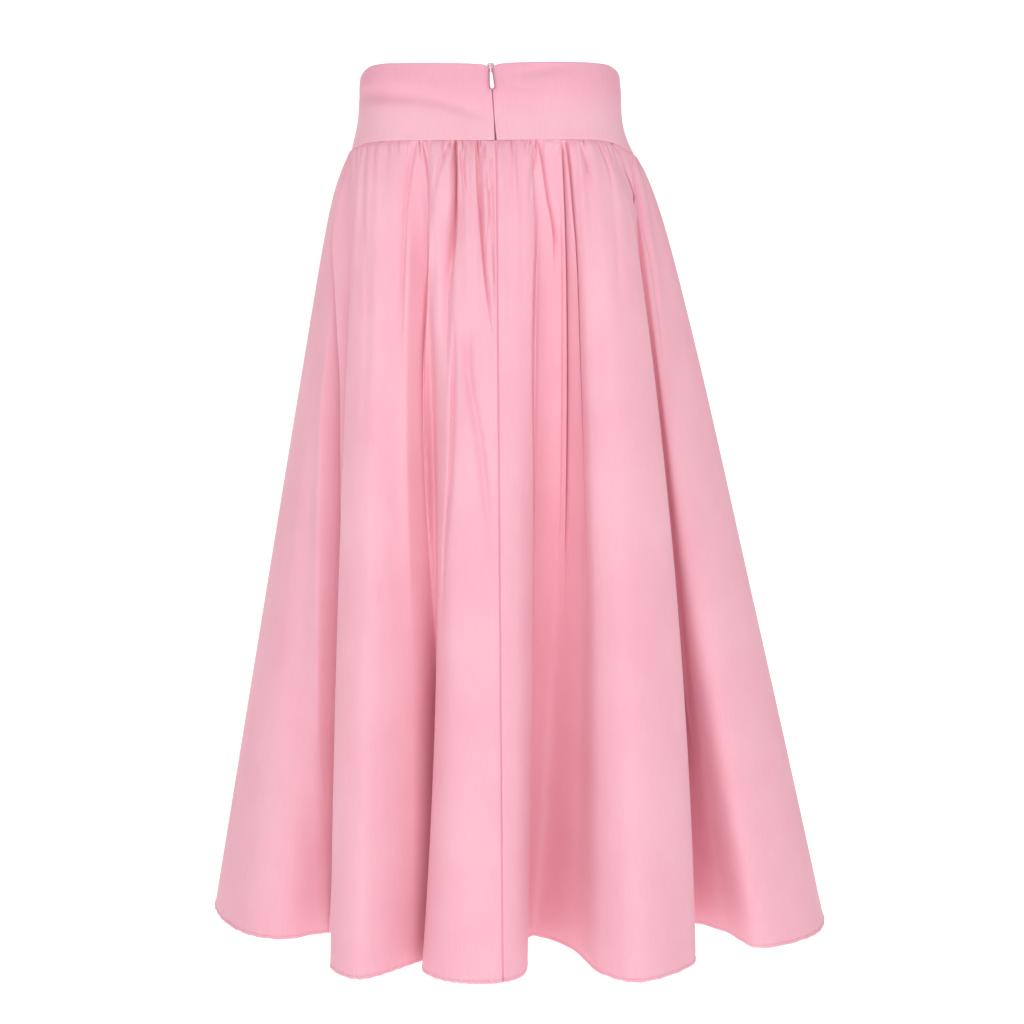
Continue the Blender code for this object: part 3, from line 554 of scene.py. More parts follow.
def shell(name, outer, inner, cloth_place, material):
    """Closed shell between two grids of points, with the cloth's own place as its UV map."""
    rows, columns = outer.shape[:2]
    at = np.arange(rows * columns).reshape(rows, columns)
    back = rows * columns
    quads = np.stack([at[:-1, :-1], at[1:, :-1], at[1:, 1:], at[:-1, 1:]], axis=-1).reshape(-1, 4)
    rim = np.concatenate([at[0, :], at[1:, -1], at[-1, -2::-1], at[-2:0:-1, 0]])
    ahead = np.roll(rim, -1)
    edge = np.stack([rim, ahead, back + ahead, back + rim], axis=-1)
    faces = np.concatenate([quads, quads[:, ::-1] + back, edge])
    piece = add_piece(name, np.stack([outer, inner]), faces.tolist(), material, 70)
    uv = np.concatenate([cloth_place.reshape(-1, 2)] * 2)
    piece.data.uv_layers.new(name="cloth").data.foreach_set("uv", uv[faces.reshape(-1)].reshape(-1))
    return piece


def seam_gap(grid):
    """Moves a grid's first and last columns in along their rows to leave a sewn seam's gap."""
    for column, neighbour in ((0, 1), (-1, -2)):
        way = grid[:, neighbour] - grid[:, column]
        grid[:, column] += way / np.linalg.norm(way, axis=1, keepdims=True) * SEWN_GAP
    return grid


COLUMN_MARGIN = 1.2
COLUMN_ALLOWANCE = 0.035
FEWEST_COLUMNS = 12
COLUMN_CROWDING = 0.7


def grid_turns(first, last, followed, columns, falls):
    """Turns of a panel's grid: columns run along the followed creases, closer beside them than
    between them, and each stretch has columns in proportion to its length at the hem."""
    lines = [np.full(len(falls), first)]
    paths = dict(zip(CREASES["name"], CREASES["path"]))
    for name in followed:
        line = first + degrees_from(first, smooth_path(paths[name], falls))
        lines.append(np.clip(line, first + COLUMN_MARGIN, last - COLUMN_MARGIN))
    lines.append(np.full(len(falls), last))
    ends = np.array([line[-1] for line in lines])
    fine = np.linspace(first, last, 2000)
    hem, _ = hem_curve(fine)
    length = np.concatenate([[0.0], np.cumsum(np.linalg.norm(np.diff(hem, axis=0), axis=1))])
    stretches = np.diff(np.interp(ends, fine, length)) + COLUMN_ALLOWANCE
    counts = np.maximum(FEWEST_COLUMNS, np.round(columns * stretches / stretches.sum())).astype(int)
    parts = []
    for left, right, count in zip(lines, lines[1:], counts):
        share = np.linspace(0, 1, count + 1)[:-1]
        share = share - COLUMN_CROWDING * np.sin(2 * math.pi * share) / (2 * math.pi)
        parts.append(left[:, None] + (right - left)[:, None] * share[None, :])
    parts.append(lines[-1][:, None])
    return np.concatenate(parts, axis=1)


TOP_ROW_SPEED = 0.16
HEM_ROWS = np.array([7.5, 4.6, 3.5, 3.0, 2.3, 1.6, 0.7]) * MM


def row_falls(rows):
    """Falls of the grid's rows: close together in the gathers, s e + (1 - s) e^2 with e even
    and s the speed at the top, and close again across the rolled hem."""
    even = np.linspace(0, 1, rows - len(HEM_ROWS))
    falls = TOP_ROW_SPEED * even + (1 - TOP_ROW_SPEED) * even**2
    return np.unique(np.concatenate([falls, 1 - HEM_ROWS / SKIRT_DROP]))


skirt_cotton = woven_cotton("rose_combed_cotton_plain_weave", SKIRT_ROSE, SKIRT_ROSE_DEEP, 0.12 * MM)


def skirt_panel(name, first, last, followed, columns, rows):
    """One panel: a grid over turn and fall, thickened inwards by one cloth, or by the rolled
    hem's three layers near the bottom."""
    falls = row_falls(rows)
    turn = grid_turns(first, last, followed, columns, falls)
    fall = np.broadcast_to(falls[:, None], turn.shape)
    outer = skirt_surface(turn, fall)
    in_hem = smooth_step(((fall - 1) * SKIRT_DROP + HEM_DEPTH) / (0.8 * MM) + 0.5)
    thickness = CLOTH_THICKNESS + (HEM_THICKNESS - CLOTH_THICKNESS) * in_hem
    inner = outer - grid_normals(outer) * thickness[..., None]
    inner[..., 2] = outer[..., 2]
    across = np.linalg.norm(np.diff(outer, axis=1), axis=2)
    cloth_across = np.concatenate([[0.0], np.cumsum(across[-1])])
    cloth_place = np.stack([np.broadcast_to(cloth_across, turn.shape), -fall * SKIRT_DROP], axis=-1)
    piece = shell("cloth_" + name, seam_gap(outer), seam_gap(inner), cloth_place, skirt_cotton)
    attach(piece, "skirt")
    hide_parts(name)


skirt_panel("skirt_back_right", CENTRE_BACK_SEAM_TURN, RIGHT_SIDE_TURN,
            ("hollow_left", "slanting", "strip_left", "strip_right", "fifth_lap"), 430, 112)
skirt_panel("skirt_front", RIGHT_SIDE_TURN, LEFT_SIDE_TURN, (), 420, 100)
skirt_panel("skirt_back_left", LEFT_SIDE_TURN, CENTRE_BACK_SEAM_TURN + 360,
            ("first_lap", "third_lap", "deep_pleat", "zip_left"), 430, 112)

# ---------------------------------------------------------------------------------------------
# Waistband: three shaped panels of the same cotton, faced inside, with painted shade darkening
# their upper part. Their edges are folded over, so every edge is a soft roll, and the wide band
# has a few shallow hollows.
# ---------------------------------------------------------------------------------------------
BAND_WALL = 1.8 * MM
BAND_TOP_HALF_WIDTH = 0.1158
BAND_TOP_HALF_DEPTH = 0.093
BAND_CORNER_DROP = 2.2 * MM
BAND_CORNER_RUN = 4.5 * MM
CENTRE_BACK_TOP_X = 1.4 * MM
EDGE_PUSH_RUN = 4 * MM

# Half the opening between the centre back edges, down the band.
ZIP_OPENING = np.array(
    [(0.0, 1.3), (0.18, 1.1), (0.32, 0.3), (0.7, 0.2), (1.0, 0.8)],
    dtype=[("fall", float), ("half_gap", float)],
)

# Shallow hollows: place, half sizes, how much the fall grows with each degree, and depth in
# millimetres.
BAND_HOLLOWS = np.array([
    ("whole_waist", 0, 0.62, 999, 0.34, 0.0, 3.0),
    ("long_left", -50, 0.38, 20, 0.09, 0.003, 4.6),
    ("long_left_end", -22, 0.50, 16, 0.08, 0.0075, 2.6),
    ("low_by_zip", -7, 0.66, 5, 0.08, 0.002, 0.6),
    ("by_pull", 13.5, 0.30, 4, 0.04, 0.0, 0.5),
    ("high_right", 26, 0.10, 12, 0.07, -0.004, 1.6),
    ("mid_right", 20, 0.52, 14, 0.08, 0.002, 0.5),
    ("first_upright", 54, 0.45, 1.5, 0.32, 0.0, 0.5),
    ("second_upright", 58, 0.5, 1.3, 0.28, 0.0, 0.5),
    ("side_upright", 69, 0.8, 2.0, 0.16, 0.0, 1.0),
    ("front_left", 222, 0.36, 20, 0.08, 0.003, 0.8),
    ("front_middle", 184, 0.30, 16, 0.07, -0.003, 0.7),
    ("front_right", 140, 0.42, 18, 0.08, 0.002, 0.8),
], dtype=[("name", "U24"), ("turn", float), ("fall", float), ("half_turn", float),
          ("half_fall", float), ("slope", float), ("depth", float)])


def band_surface(turn, fall):
    """Outer face of the band: a ring that widens from its top edge to the waist seam, with the
    top edge rounded off beside the zip and pressed in by the hollows."""
    half_width = BAND_TOP_HALF_WIDTH + (SEAM_HALF_WIDTH - BAND_TOP_HALF_WIDTH) * fall
    half_depth = BAND_TOP_HALF_DEPTH + (SEAM_HALF_DEPTH - BAND_TOP_HALF_DEPTH) * fall
    x, y = ring(turn, half_width, half_depth)
    beside_zip = np.exp(-(((x - CENTRE_BACK_TOP_X) / BAND_CORNER_RUN) ** 2)) * (y < 0)
    drop = BAND_CORNER_DROP * beside_zip * (1 - fall) ** 6
    press = np.zeros(np.broadcast(turn, fall).shape)
    for hollow in BAND_HOLLOWS:
        aside = degrees_from(hollow["turn"], turn)
        below = fall - hollow["fall"] - hollow["slope"] * aside
        press += hollow["depth"] * MM * np.exp(-((aside / hollow["half_turn"]) ** 2)
                                               - (below / hollow["half_fall"]) ** 2)
    top_rise, seam_rise, flare = waist_wander(turn)
    inwards = 1 - (press - flare * fall**6) / np.hypot(x, y)
    rise = top_rise * (1 - fall) ** 2 + seam_rise * fall**2
    return np.stack([x * inwards, y * inwards, rise - BAND_HEIGHT * fall - drop], axis=-1)


def centre_back_turn(fall):
    """Turn of the band's centre back line, which leans a little to the right."""
    top = math.degrees(math.atan(CENTRE_BACK_TOP_X / BAND_TOP_HALF_DEPTH))
    return top + (CENTRE_BACK_SEAM_TURN - top) * fall


def close_to_ends(count, end_share, power=2.0):
    """Shares from 0 to 1 whose spacing shrinks towards both ends."""
    even = np.linspace(-1, 1, count)
    bent = np.sign(even) * (1 - (1 - np.abs(even)) ** power)
    return (end_share * bent + (1 - end_share) * even + 1) / 2


def rolled(distance, radius):
    """How far a face stands back near a folded edge: a quarter circle's rise."""
    near = np.clip(1 - distance / radius, 0, 1)
    return radius * (1 - np.sqrt(1 - near**2))


# Painted shade on the band: its colour is darker from the top edge down to 12 mm and fades out by 56 mm,
# standing in for the shade on its upper part.
PAINTED_SHADE_DEPTHS = (12 * MM, 56 * MM)

band_cotton = woven_cotton("rose_cotton_faced_and_pressed", "#f0bac7", "#ebb0be", 0.08 * MM, PAINTED_SHADE_DEPTHS)


def band_panel(name, first, last, columns, first_is_zip=False, last_is_zip=False):
    """One band panel. Its end columns move apart by the zip's opening or half a seam's gap, and
    both faces step back to the wall's middle at the top, bottom and zip edges, so that the edges
    are rolls and the waist seam lies in a ditch."""
    falls = close_to_ends(64, 0.93, 2.6)[:, None]
    first_turn = centre_back_turn(falls) if first_is_zip else np.full_like(falls, first)
    last_turn = centre_back_turn(falls) + 360 if last_is_zip else np.full_like(falls, last)
    turn = first_turn + (last_turn - first_turn) * close_to_ends(columns, 0.9, 2.4)[None, :]
    fall = np.broadcast_to(falls, turn.shape)
    face = band_surface(turn, fall)
    opening = np.interp(falls[:, 0], ZIP_OPENING["fall"], ZIP_OPENING["half_gap"]) * MM
    along = np.cumsum(np.linalg.norm(np.diff(face, axis=1, prepend=face[:, :1]), axis=2), axis=1)
    half = BAND_WALL / 2
    down = fall * BAND_HEIGHT
    roll = np.maximum(rolled(down, half), rolled(BAND_HEIGHT - down, half))
    for room, is_zip, span in ((along, first_is_zip, 1), (along[:, -1:] - along, last_is_zip, -1)):
        shift = opening if is_zip else np.full(len(face), SEAM_GAP / 2)
        push = shift[:, None] * np.exp(-((room / EDGE_PUSH_RUN) ** 2))
        way = np.gradient(face, axis=1)
        face = face + span * push[..., None] * way / np.linalg.norm(way, axis=2, keepdims=True)
        roll = np.maximum(roll, rolled(room, half if is_zip else half / 2))
    normal = grid_normals(face)
    outer = face - normal * roll[..., None]
    inner = face - normal * (BAND_WALL - roll)[..., None]
    inner[..., 2] = outer[..., 2]
    place = np.stack([along, -down], axis=-1)
    piece = shell("cloth_" + name, outer, inner, place, band_cotton)
    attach(piece, "skirt")
    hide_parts(name)


band_panel("waistband_back_right", CENTRE_BACK_SEAM_TURN, RIGHT_SIDE_TURN, 130, first_is_zip=True)
band_panel("waistband_front", RIGHT_SIDE_TURN, LEFT_SIDE_TURN, 180)
band_panel("waistband_back_left", LEFT_SIDE_TURN, CENTRE_BACK_SEAM_TURN + 360, 130,
           last_is_zip=True)

# ---------------------------------------------------------------------------------------------
# Hem stitches: one row of lockstitches in matching polyester thread holds the narrow rolled hem
# all round. Each stitch is a short capsule that dips into the cloth at both ends. Real thread is
# 0.25 mm thick, and this one 0.54 mm, as a finer one would not show.
# ---------------------------------------------------------------------------------------------
STITCH_PITCH = 2.9 * MM
STITCH_LENGTH = 2.3 * MM
THREAD_RADIUS = 0.27 * MM
THREAD_SIDES = 5
THREAD_SUNK = 0.55
STITCH_SHARES = np.array([-1.0, -0.6, 0.0, 0.6, 1.0])
STITCH_GIRTHS = np.array([0.4, 0.95, 1.0, 0.95, 0.4])


def tube_faces(rings, sides, count=1):
    """Faces of tubes made of rings of points, with both ends closed by one face each."""
    at = np.arange(rings * sides).reshape(rings, sides)
    ahead = np.roll(at, -1, axis=1)
    quads = np.stack([at[:-1], at[1:], ahead[1:], ahead[:-1]], axis=-1).reshape(-1, 4)
    shifts = np.arange(count) * rings * sides
    caps = np.stack([at[0], at[-1, ::-1]])
    return ((quads + shifts[:, None, None]).reshape(-1, 4).tolist()
            + (caps + shifts[:, None, None]).reshape(-1, sides).tolist())


def spun_thread(name, colour, deep_colour, twist):
    """Twisted polyester thread: diagonal ply lines, drawn a twist apart where real ones are 0.3 mm,
    in the bump and the colour, and a slight satin gloss."""
    material, surface = empty_material(name)
    place = add_node(material, "ShaderNodeTexCoord")
    ply = add_node(
        material, "ShaderNodeTexWave", {"bands_direction": "DIAGONAL"},
        {"Scale": 1 / twist, "Distortion": 1.5}, {"Vector": place.outputs["Object"]},
    )
    shade = add_node(
        material, "ShaderNodeMix", {"data_type": "RGBA"},
        {"A": linear(deep_colour), "B": linear(colour)}, {"Factor": ply.outputs["Fac"]},
    )
    return shaded(material, surface, shade.outputs["Result"], ply.outputs["Fac"], 0.4, 0.05 * MM,
                  {"Roughness": 0.55})


def hem_line(turn):
    """The skirt's outer face along the row of stitches."""
    return skirt_surface(turn, np.full_like(turn, 1 - STITCH_UP / SKIRT_DROP))


def stitch_rings():
    """Rings of points of all the stitches: each a spine of five places along the hem line, with
    a circle of thread round each place, narrower and sunk deeper at the ends."""
    turns = np.linspace(0, 360, 7201)
    steps = np.linalg.norm(np.diff(hem_line(turns), axis=0), axis=1)
    run = np.concatenate([[0.0], np.cumsum(steps)])
    count = int(run[-1] / STITCH_PITCH)
    middles = (np.arange(count) + 0.5) * run[-1] / count
    places = np.interp(middles[:, None] + STITCH_SHARES * STITCH_LENGTH / 2, run, turns)
    spine = hem_line(places)
    way = hem_line(places + 0.02) - spine
    way /= np.linalg.norm(way, axis=-1, keepdims=True)
    upright = np.broadcast_to([0.0, 0.0, 1.0], way.shape)
    outward = np.cross(way, upright)
    spine = spine + outward * (STITCH_GIRTHS[:, None] - THREAD_SUNK) * THREAD_RADIUS
    bend = 2 * math.pi * np.arange(THREAD_SIDES) / THREAD_SIDES
    girth = THREAD_RADIUS * STITCH_GIRTHS[:, None, None]
    return spine[:, :, None] + girth * (np.cos(bend)[:, None] * outward[:, :, None]
                                        + np.sin(bend)[:, None] * upright[:, :, None])


matching_thread = spun_thread("rose_polyester_sewing_thread", "#f3a9bc", "#e188a0", 0.9 * MM)
stitch_points = stitch_rings()
hem_stitches = add_piece("hem_stitches", stitch_points,
                         tube_faces(len(STITCH_SHARES), THREAD_SIDES, len(stitch_points)),
                         matching_thread, 40)
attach(hem_stitches, "skirt")

# ---------------------------------------------------------------------------------------------
# Zip tapes and coil: two knitted polyester tapes sewn behind the edges of the centre back
# opening, and along their edges a nylon coil, which stays hidden while the zip is closed.
# ---------------------------------------------------------------------------------------------
TAPE_WIDTH = 12 * MM
TAPE_WALL = 0.6 * MM
TAPE_INSET = 3.4 * MM
TAPE_INSET_BELOW_SEAM = 7.2 * MM
TAPE_TOP = 3 * MM
TAPE_BOTTOM = 255 * MM
TAPE_EDGE_BESIDE_SLIDER = 4.2 * MM
TAPE_EDGE_BELOW_SLIDER = 0.6 * MM
TAPE_RIB = 0.8 * MM
SLIDER_FOOT = 11 * MM
COIL_TOP = 9.2 * MM
COIL_BOTTOM = 250 * MM
COIL_PITCH = 1.5 * MM
COIL_HALF_WIDTH = 1.5 * MM
COIL_HALF_DEPTH = 0.75 * MM
COIL_WIRE_RADIUS = 0.3 * MM


def behind_opening(depth, away, inset):
    """Points behind the centre back line, a depth below the band's top edge, a distance to its
    right and an inset behind the outer face, which grows below the waist seam."""
    on_band = depth < BAND_HEIGHT
    band_fall = np.clip(depth / BAND_HEIGHT, 0, 1)
    skirt_fall = np.clip((depth - BAND_HEIGHT) / SKIRT_DROP, 0, 1)
    middle = np.where(on_band, centre_back_turn(band_fall), CENTRE_BACK_SEAM_TURN)

    def face(turn):
        return np.where(on_band[..., None], band_surface(turn, band_fall),
                        skirt_folds(turn, skirt_fall))

    degree = face(middle + 0.5) - face(middle - 0.5)
    turn = middle + away / np.linalg.norm(degree, axis=-1)
    along = face(turn + 0.3) - face(turn - 0.3)
    inward = np.stack([-along[..., 1], along[..., 0], np.zeros(along.shape[:-1])], axis=-1)
    inward /= np.linalg.norm(inward, axis=-1, keepdims=True)
    deeper = (TAPE_INSET_BELOW_SEAM - TAPE_INSET) * smooth_step((depth - BAND_HEIGHT + 0.012) / 0.03)
    return face(turn) + inward * (inset + deeper)[..., None]


def knitted_tape(name, colour, deep_colour):
    """Warp-knitted tape: fine ribs along its length with a satin gloss. Real ribs lie 0.4 mm
    apart. They are drawn 0.8 mm apart, as finer ones would not show."""
    material, surface = empty_material(name)
    place = add_node(material, "ShaderNodeUVMap", {"uv_map": "cloth"})
    rib = add_node(
        material, "ShaderNodeTexWave", {"wave_profile": "SIN"},
        {"Scale": math.pi / (10 * TAPE_RIB), "Distortion": 0.6, "Detail": 1.0},
        {"Vector": place.outputs["UV"]},
    )
    shade = add_node(
        material, "ShaderNodeMix", {"data_type": "RGBA"},
        {"A": linear(deep_colour), "B": linear(colour)}, {"Factor": rib.outputs["Fac"]},
    )
    return shaded(material, surface, shade.outputs["Result"], rib.outputs["Fac"], 0.6, 0.1 * MM,
                  {"Roughness": 0.6, "Sheen Weight": 0.1})


tape_knit = knitted_tape("rose_polyester_knitted_tape", "#f2a6b8", "#e58fa5")
coil_nylon = spun_thread("rose_nylon_coil", "#f4a9bb", "#e890a5", 2.5 * MM)


def zip_side(side, side_name):
    """One tape and its row of coil. The tape's edge stands aside of the slider and runs close to
    the middle below it. The coil is a flattened helix, half a pitch off the other side's, with a
    pitch of 1.5 mm where a real one has 0.9 mm."""
    depths = np.concatenate([np.linspace(TAPE_TOP, SLIDER_FOOT - 0.5 * MM, 6),
                             np.linspace(SLIDER_FOOT + 0.5 * MM, TAPE_BOTTOM, 90)])
    edge = np.where(depths < SLIDER_FOOT, TAPE_EDGE_BESIDE_SLIDER, TAPE_EDGE_BELOW_SLIDER)
    share = np.linspace(0, 1, 9)
    away = edge[:, None] + (TAPE_WIDTH - edge[:, None]) * share[None, :]
    away = away if side > 0 else -away[:, ::-1]
    depth = np.broadcast_to(depths[:, None], away.shape)
    outer = behind_opening(depth, away, np.full(away.shape, TAPE_INSET))
    inner = behind_opening(depth, away, np.full(away.shape, TAPE_INSET + TAPE_WALL))
    tape = shell("tape_" + side_name, outer, inner, np.stack([away, -depth], axis=-1), tape_knit)
    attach(tape, "skirt")
    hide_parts("zip_tape_" + side_name)
    wind = np.arange(0, (COIL_BOTTOM - COIL_TOP) / COIL_PITCH, 1 / 9)
    angle = 2 * math.pi * (wind + (0.5 if side > 0 else 0))
    run = COIL_TOP + wind * COIL_PITCH
    wire_away = side * (0.9 * MM + COIL_HALF_WIDTH * np.cos(angle) * side)
    wire_inset = TAPE_INSET + TAPE_WALL + COIL_HALF_DEPTH * (1.1 + np.sin(angle)) + COIL_WIRE_RADIUS
    path = behind_opening(run, wire_away, wire_inset)
    way = np.gradient(path, axis=0)
    way /= np.linalg.norm(way, axis=1, keepdims=True)
    across = np.cross(way, [0.0, 0.0, 1.0])
    across /= np.linalg.norm(across, axis=1, keepdims=True)
    rise = np.cross(across, way)
    bend = 2 * math.pi * np.arange(THREAD_SIDES) / THREAD_SIDES
    rings = path[:, None] + COIL_WIRE_RADIUS * (np.cos(bend)[:, None] * across[:, None]
                                                + np.sin(bend)[:, None] * rise[:, None])
    coil = add_piece("coil_" + side_name, rings, tube_faces(len(path), THREAD_SIDES), coil_nylon, 40)
    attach(coil, "skirt")


zip_side(-1, "left")
zip_side(1, "right")

# ---------------------------------------------------------------------------------------------
# Zip slider: cast in zinc and enamelled pale pink. A back plate with two rails runs on the coil,
# a post comes out through the opening, and a bridge with a pointed nose carries the wire bail.
# ---------------------------------------------------------------------------------------------
# The casting's plates, in millimetres: place across, half width at the foot and at the top, both
# ends' heights, corner radius, front and back face, rim radius, and how pale the enamel is painted,
# kept lower as painted shade on the back plate, rails, post and the bridge under the bail.
SLIDER_PLATES = np.array([
    ("back_plate", 0, 2.48, 3.1, -7.7, 1.8, 1.2, 3.6, 4.5, 0.3, 0.7),
    ("left_rail", -2.35, 0.45, 0.45, -7.1, 0.9, 0.35, 2.3, 4, 0.2, 0.7),
    ("right_rail", 2.35, 0.45, 0.45, -7.1, 0.9, 0.35, 2.3, 4, 0.2, 0.7),
    ("post", 0, 0.7, 0.7, -4.5, 1.2, 0.4, -0.8, 4, 0.1, 0.4),
    ("bridge", 0, 1.296, 1.8, -8.2, 0.8, 0.9, -1.2, -0.4, 0.3, 0.62),
    ("nose", 0, 1.512, 0, 0.2, 3.7, 0.5, -0.96, 3.8, 0.25, 0.9),
], dtype=[("name", "U24"), ("middle", float), ("foot", float), ("top", float), ("low", float),
          ("high", float), ("corner", float), ("front", float), ("back", float), ("edge", float),
          ("tone", float)])
BAIL_TONE = 0.9
BAIL_ROOT_DEPTH = 0.88 * MM
BAIL_RADIUS = 1.8 * MM
BAIL_WIRE_RADIUS = 0.45 * MM
PULL_DROP = 4.6 * MM
PULL_STAND_OFF = 2.1 * MM
ORANGE_PEEL = MM / 0.9


def on_seat(points):
    """Moves points from the slider's seat, which leans with the band's face at the top of the
    zip, to the skirt's frame."""
    lean = -math.atan((SEAM_HALF_DEPTH - BAND_TOP_HALF_DEPTH) / BAND_HEIGHT)
    x, y, z = np.moveaxis(np.asarray(points, dtype=float), -1, 0)
    return np.stack([x + CENTRE_BACK_TOP_X, y * math.cos(lean) - z * math.sin(lean)
                     - BAND_TOP_HALF_DEPTH, y * math.sin(lean) + z * math.cos(lean)], axis=-1)


def rounded_outline(corners, radius, steps=6):
    """Closed outline (x, z) of a polygon, counter-clockwise, whose corners are rounded by
    curves that start a radius before each corner and end a radius after it."""
    corners = np.array(corners, dtype=float)
    before = np.roll(corners, 1, axis=0) - corners
    after = np.roll(corners, -1, axis=0) - corners
    start = corners + before / np.linalg.norm(before, axis=1, keepdims=True) * radius
    stop = corners + after / np.linalg.norm(after, axis=1, keepdims=True) * radius
    t = np.linspace(0, 1, steps)[None, :, None]
    bends = start[:, None] * (1 - t) ** 2 + corners[:, None] * 2 * t * (1 - t) + stop[:, None] * t**2
    return bends.reshape(-1, 2)


def cast_plate(outline, front, back, edge):
    """Plate between two depths with rounded rims: rings of its outline, drawn in towards its
    middle where they approach a face."""
    middle = outline.mean(axis=0)
    reach = np.linalg.norm(outline - middle, axis=1, keepdims=True)
    bend = np.linspace(0, math.pi / 2, 4)
    insets = np.concatenate([edge * (1 - np.sin(bend)), edge * (1 - np.sin(bend[::-1]))])
    depths = np.concatenate([front + edge * (1 - np.cos(bend)), back - edge * (1 - np.cos(bend[::-1]))])
    rings = middle + (outline - middle) * (1 - insets[:, None, None] / reach)
    depths = np.broadcast_to(depths[:, None, None], (*rings.shape[:2], 1))
    return np.concatenate([rings[..., :1], depths, rings[..., 1:]], axis=-1)


def plate_outline(row):
    """Outline (x, z) of a plate from its foot to its top: a triangle where the top has no width."""
    corners = [(-row["foot"], row["low"]), (row["foot"], row["low"]), (row["top"], row["high"])]
    if row["top"] > 0:
        corners.append((-row["top"], row["high"]))
    return np.array(corners) + (row["middle"], 0)


def bail_rings():
    """Rings round the bail's wire, which leaves the bridge below the pull's bar, bows out round
    it in a half circle and comes back above it."""
    bow = np.linspace(-math.pi / 2, math.pi / 2, 13)
    path = np.concatenate([
        [(0, -BAIL_ROOT_DEPTH, -PULL_DROP - BAIL_RADIUS)],
        np.stack([np.zeros(13), -PULL_STAND_OFF - BAIL_RADIUS * np.cos(bow),
                  -PULL_DROP + BAIL_RADIUS * np.sin(bow)], axis=-1),
        [(0, -BAIL_ROOT_DEPTH, -PULL_DROP + BAIL_RADIUS)],
    ])
    way = np.gradient(path, axis=0)
    way /= np.linalg.norm(way, axis=1, keepdims=True)
    bend = 2 * math.pi * np.arange(12) / 12
    aside = np.array([1.0, 0.0, 0.0])
    return path[:, None] + BAIL_WIRE_RADIUS * (np.cos(bend)[:, None] * aside
                                               + np.sin(bend)[:, None] * np.cross(aside, way)[:, None])


def glossy_enamel(name, colour, painted_rim_shade_colour):
    """Stoved enamel on cast zinc, with a hard clear gloss and a faint orange-peel bump. Its pale pink is
    made near white as a painted highlight, and turns deep rose as painted shade where the rim map is
    low."""
    material, surface = empty_material(name)
    place = add_node(material, "ShaderNodeUVMap", {"uv_map": "rim"})
    split = add_node(material, "ShaderNodeSeparateXYZ", None, None, {"Vector": place.outputs["UV"]})
    peel_place = add_node(material, "ShaderNodeTexCoord")
    peel = add_node(
        material, "ShaderNodeTexNoise", None, {"Scale": 1 / ORANGE_PEEL, "Detail": 2.0},
        {"Vector": peel_place.outputs["Object"]},
    )
    wander = add_node(
        material, "ShaderNodeMath", {"operation": "MULTIPLY_ADD"}, {1: 0.25},
        {0: peel.outputs["Fac"], 2: split.outputs["X"]},
    )
    # Painted light share: 0 gives the deep rose painted shade, 1 the near white painted highlight.
    painted_light_share = add_node(
        material, "ShaderNodeMapRange", {"interpolation_type": "SMOOTHSTEP"},
        {"From Min": 0.62, "From Max": 0.9}, {"Value": wander.outputs["Value"]},
    )
    shade = add_node(
        material, "ShaderNodeMix", {"data_type": "RGBA"},
        {"A": linear(painted_rim_shade_colour), "B": linear(colour)}, {"Factor": painted_light_share.outputs["Result"]},
    )
    return shaded(material, surface, shade.outputs["Result"], peel.outputs["Fac"], 0.15, 0.05 * MM,
                  {"Roughness": 0.22, "Coat Weight": 0.6, "Coat Roughness": 0.08})


def cast_piece(name, points, faces, inside, material):
    """One cast object, with a UV map that carries how pale its enamel is painted at each point: low is
    deep rose painted shade.
    """
    piece = add_piece(name, on_seat(points), faces, material, 40)
    share = np.asarray(inside).reshape(-1)[np.concatenate(faces)]
    uv = np.stack([share, np.zeros(len(share))], axis=-1)
    piece.data.uv_layers.new(name="rim").data.foreach_set("uv", uv.reshape(-1))
    return piece


slider_parts = [cast_plate(rounded_outline(plate_outline(row), row["corner"]), row["front"],
                           row["back"], row["edge"]) * MM for row in SLIDER_PLATES]
slider_parts.append(bail_rings())
slider_points = np.concatenate([part.reshape(-1, 3) for part in slider_parts])
# How pale each part's enamel is painted: the lower values are painted shade, deepest on the post and the
# bridge.
slider_paleness_with_painted_shade = np.concatenate([np.full(part.shape[0] * part.shape[1], tone) for part, tone
                               in zip(slider_parts, [*SLIDER_PLATES["tone"], BAIL_TONE])])
slider_faces = []
start = 0
for part in slider_parts:
    rings, sides = part.shape[:2]
    slider_faces += [[corner + start for corner in face] for face in tube_faces(rings, sides)]
    start += rings * sides
# Painted light in the enamel: the near white is a painted highlight on the pale pink, and the deep rose
# is painted shade.
enamel = glossy_enamel("pale_pink_stoved_enamel", "#fff0f4", "#a8506c")
slider = cast_piece("cast_slider", slider_points, slider_faces, slider_paleness_with_painted_shade, enamel)
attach(slider, "skirt")
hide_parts("zip_slider")

# ---------------------------------------------------------------------------------------------
# Pull tab: a cast teardrop with an eye, enamelled like the slider, that hangs from the bail by
# its top bar. Its face is a low dome inside a rounded rim.
# ---------------------------------------------------------------------------------------------
PULL_LENGTH = 17.6 * MM
PULL_THICKNESS = 1.0 * MM
PULL_TOP_RADIUS = 1.9 * MM
PULL_BULB_RADIUS = 2.8 * MM
PULL_BAR_TOP = 0.7 * MM
PULL_BAR_HALF = 0.5 * MM
PULL_EYE_HALF_WIDTH = 0.95 * MM
PULL_EYE_DEPTH = 2.1 * MM
PULL_LEAN = 5.0
PULL_SIDES = 72
PULL_PAINTED_RIM_SHADE_WIDTH = 1.5 * MM

# Round the section from the eye to the rim and back: share of the way, and depth off the middle.
PULL_SECTION = np.array([
    ("eye_wall", 0.0, 0.0), ("eye_front", 0.04, -0.78), ("eye_lip", 0.10, -0.98),
    ("face", 0.35, -1.0), ("face_mid", 0.6, -0.99), ("face_out", 0.8, -0.92),
    ("rim_front", 0.93, -0.7), ("rim_edge", 1.0, 0.0),
    ("rim_back", 0.93, 0.7), ("back_out", 0.8, 0.95), ("back_mid", 0.4, 1.0), ("eye_back", 0.05, 0.8),
], dtype=[("name", "U24"), ("share", float), ("depth", float)])


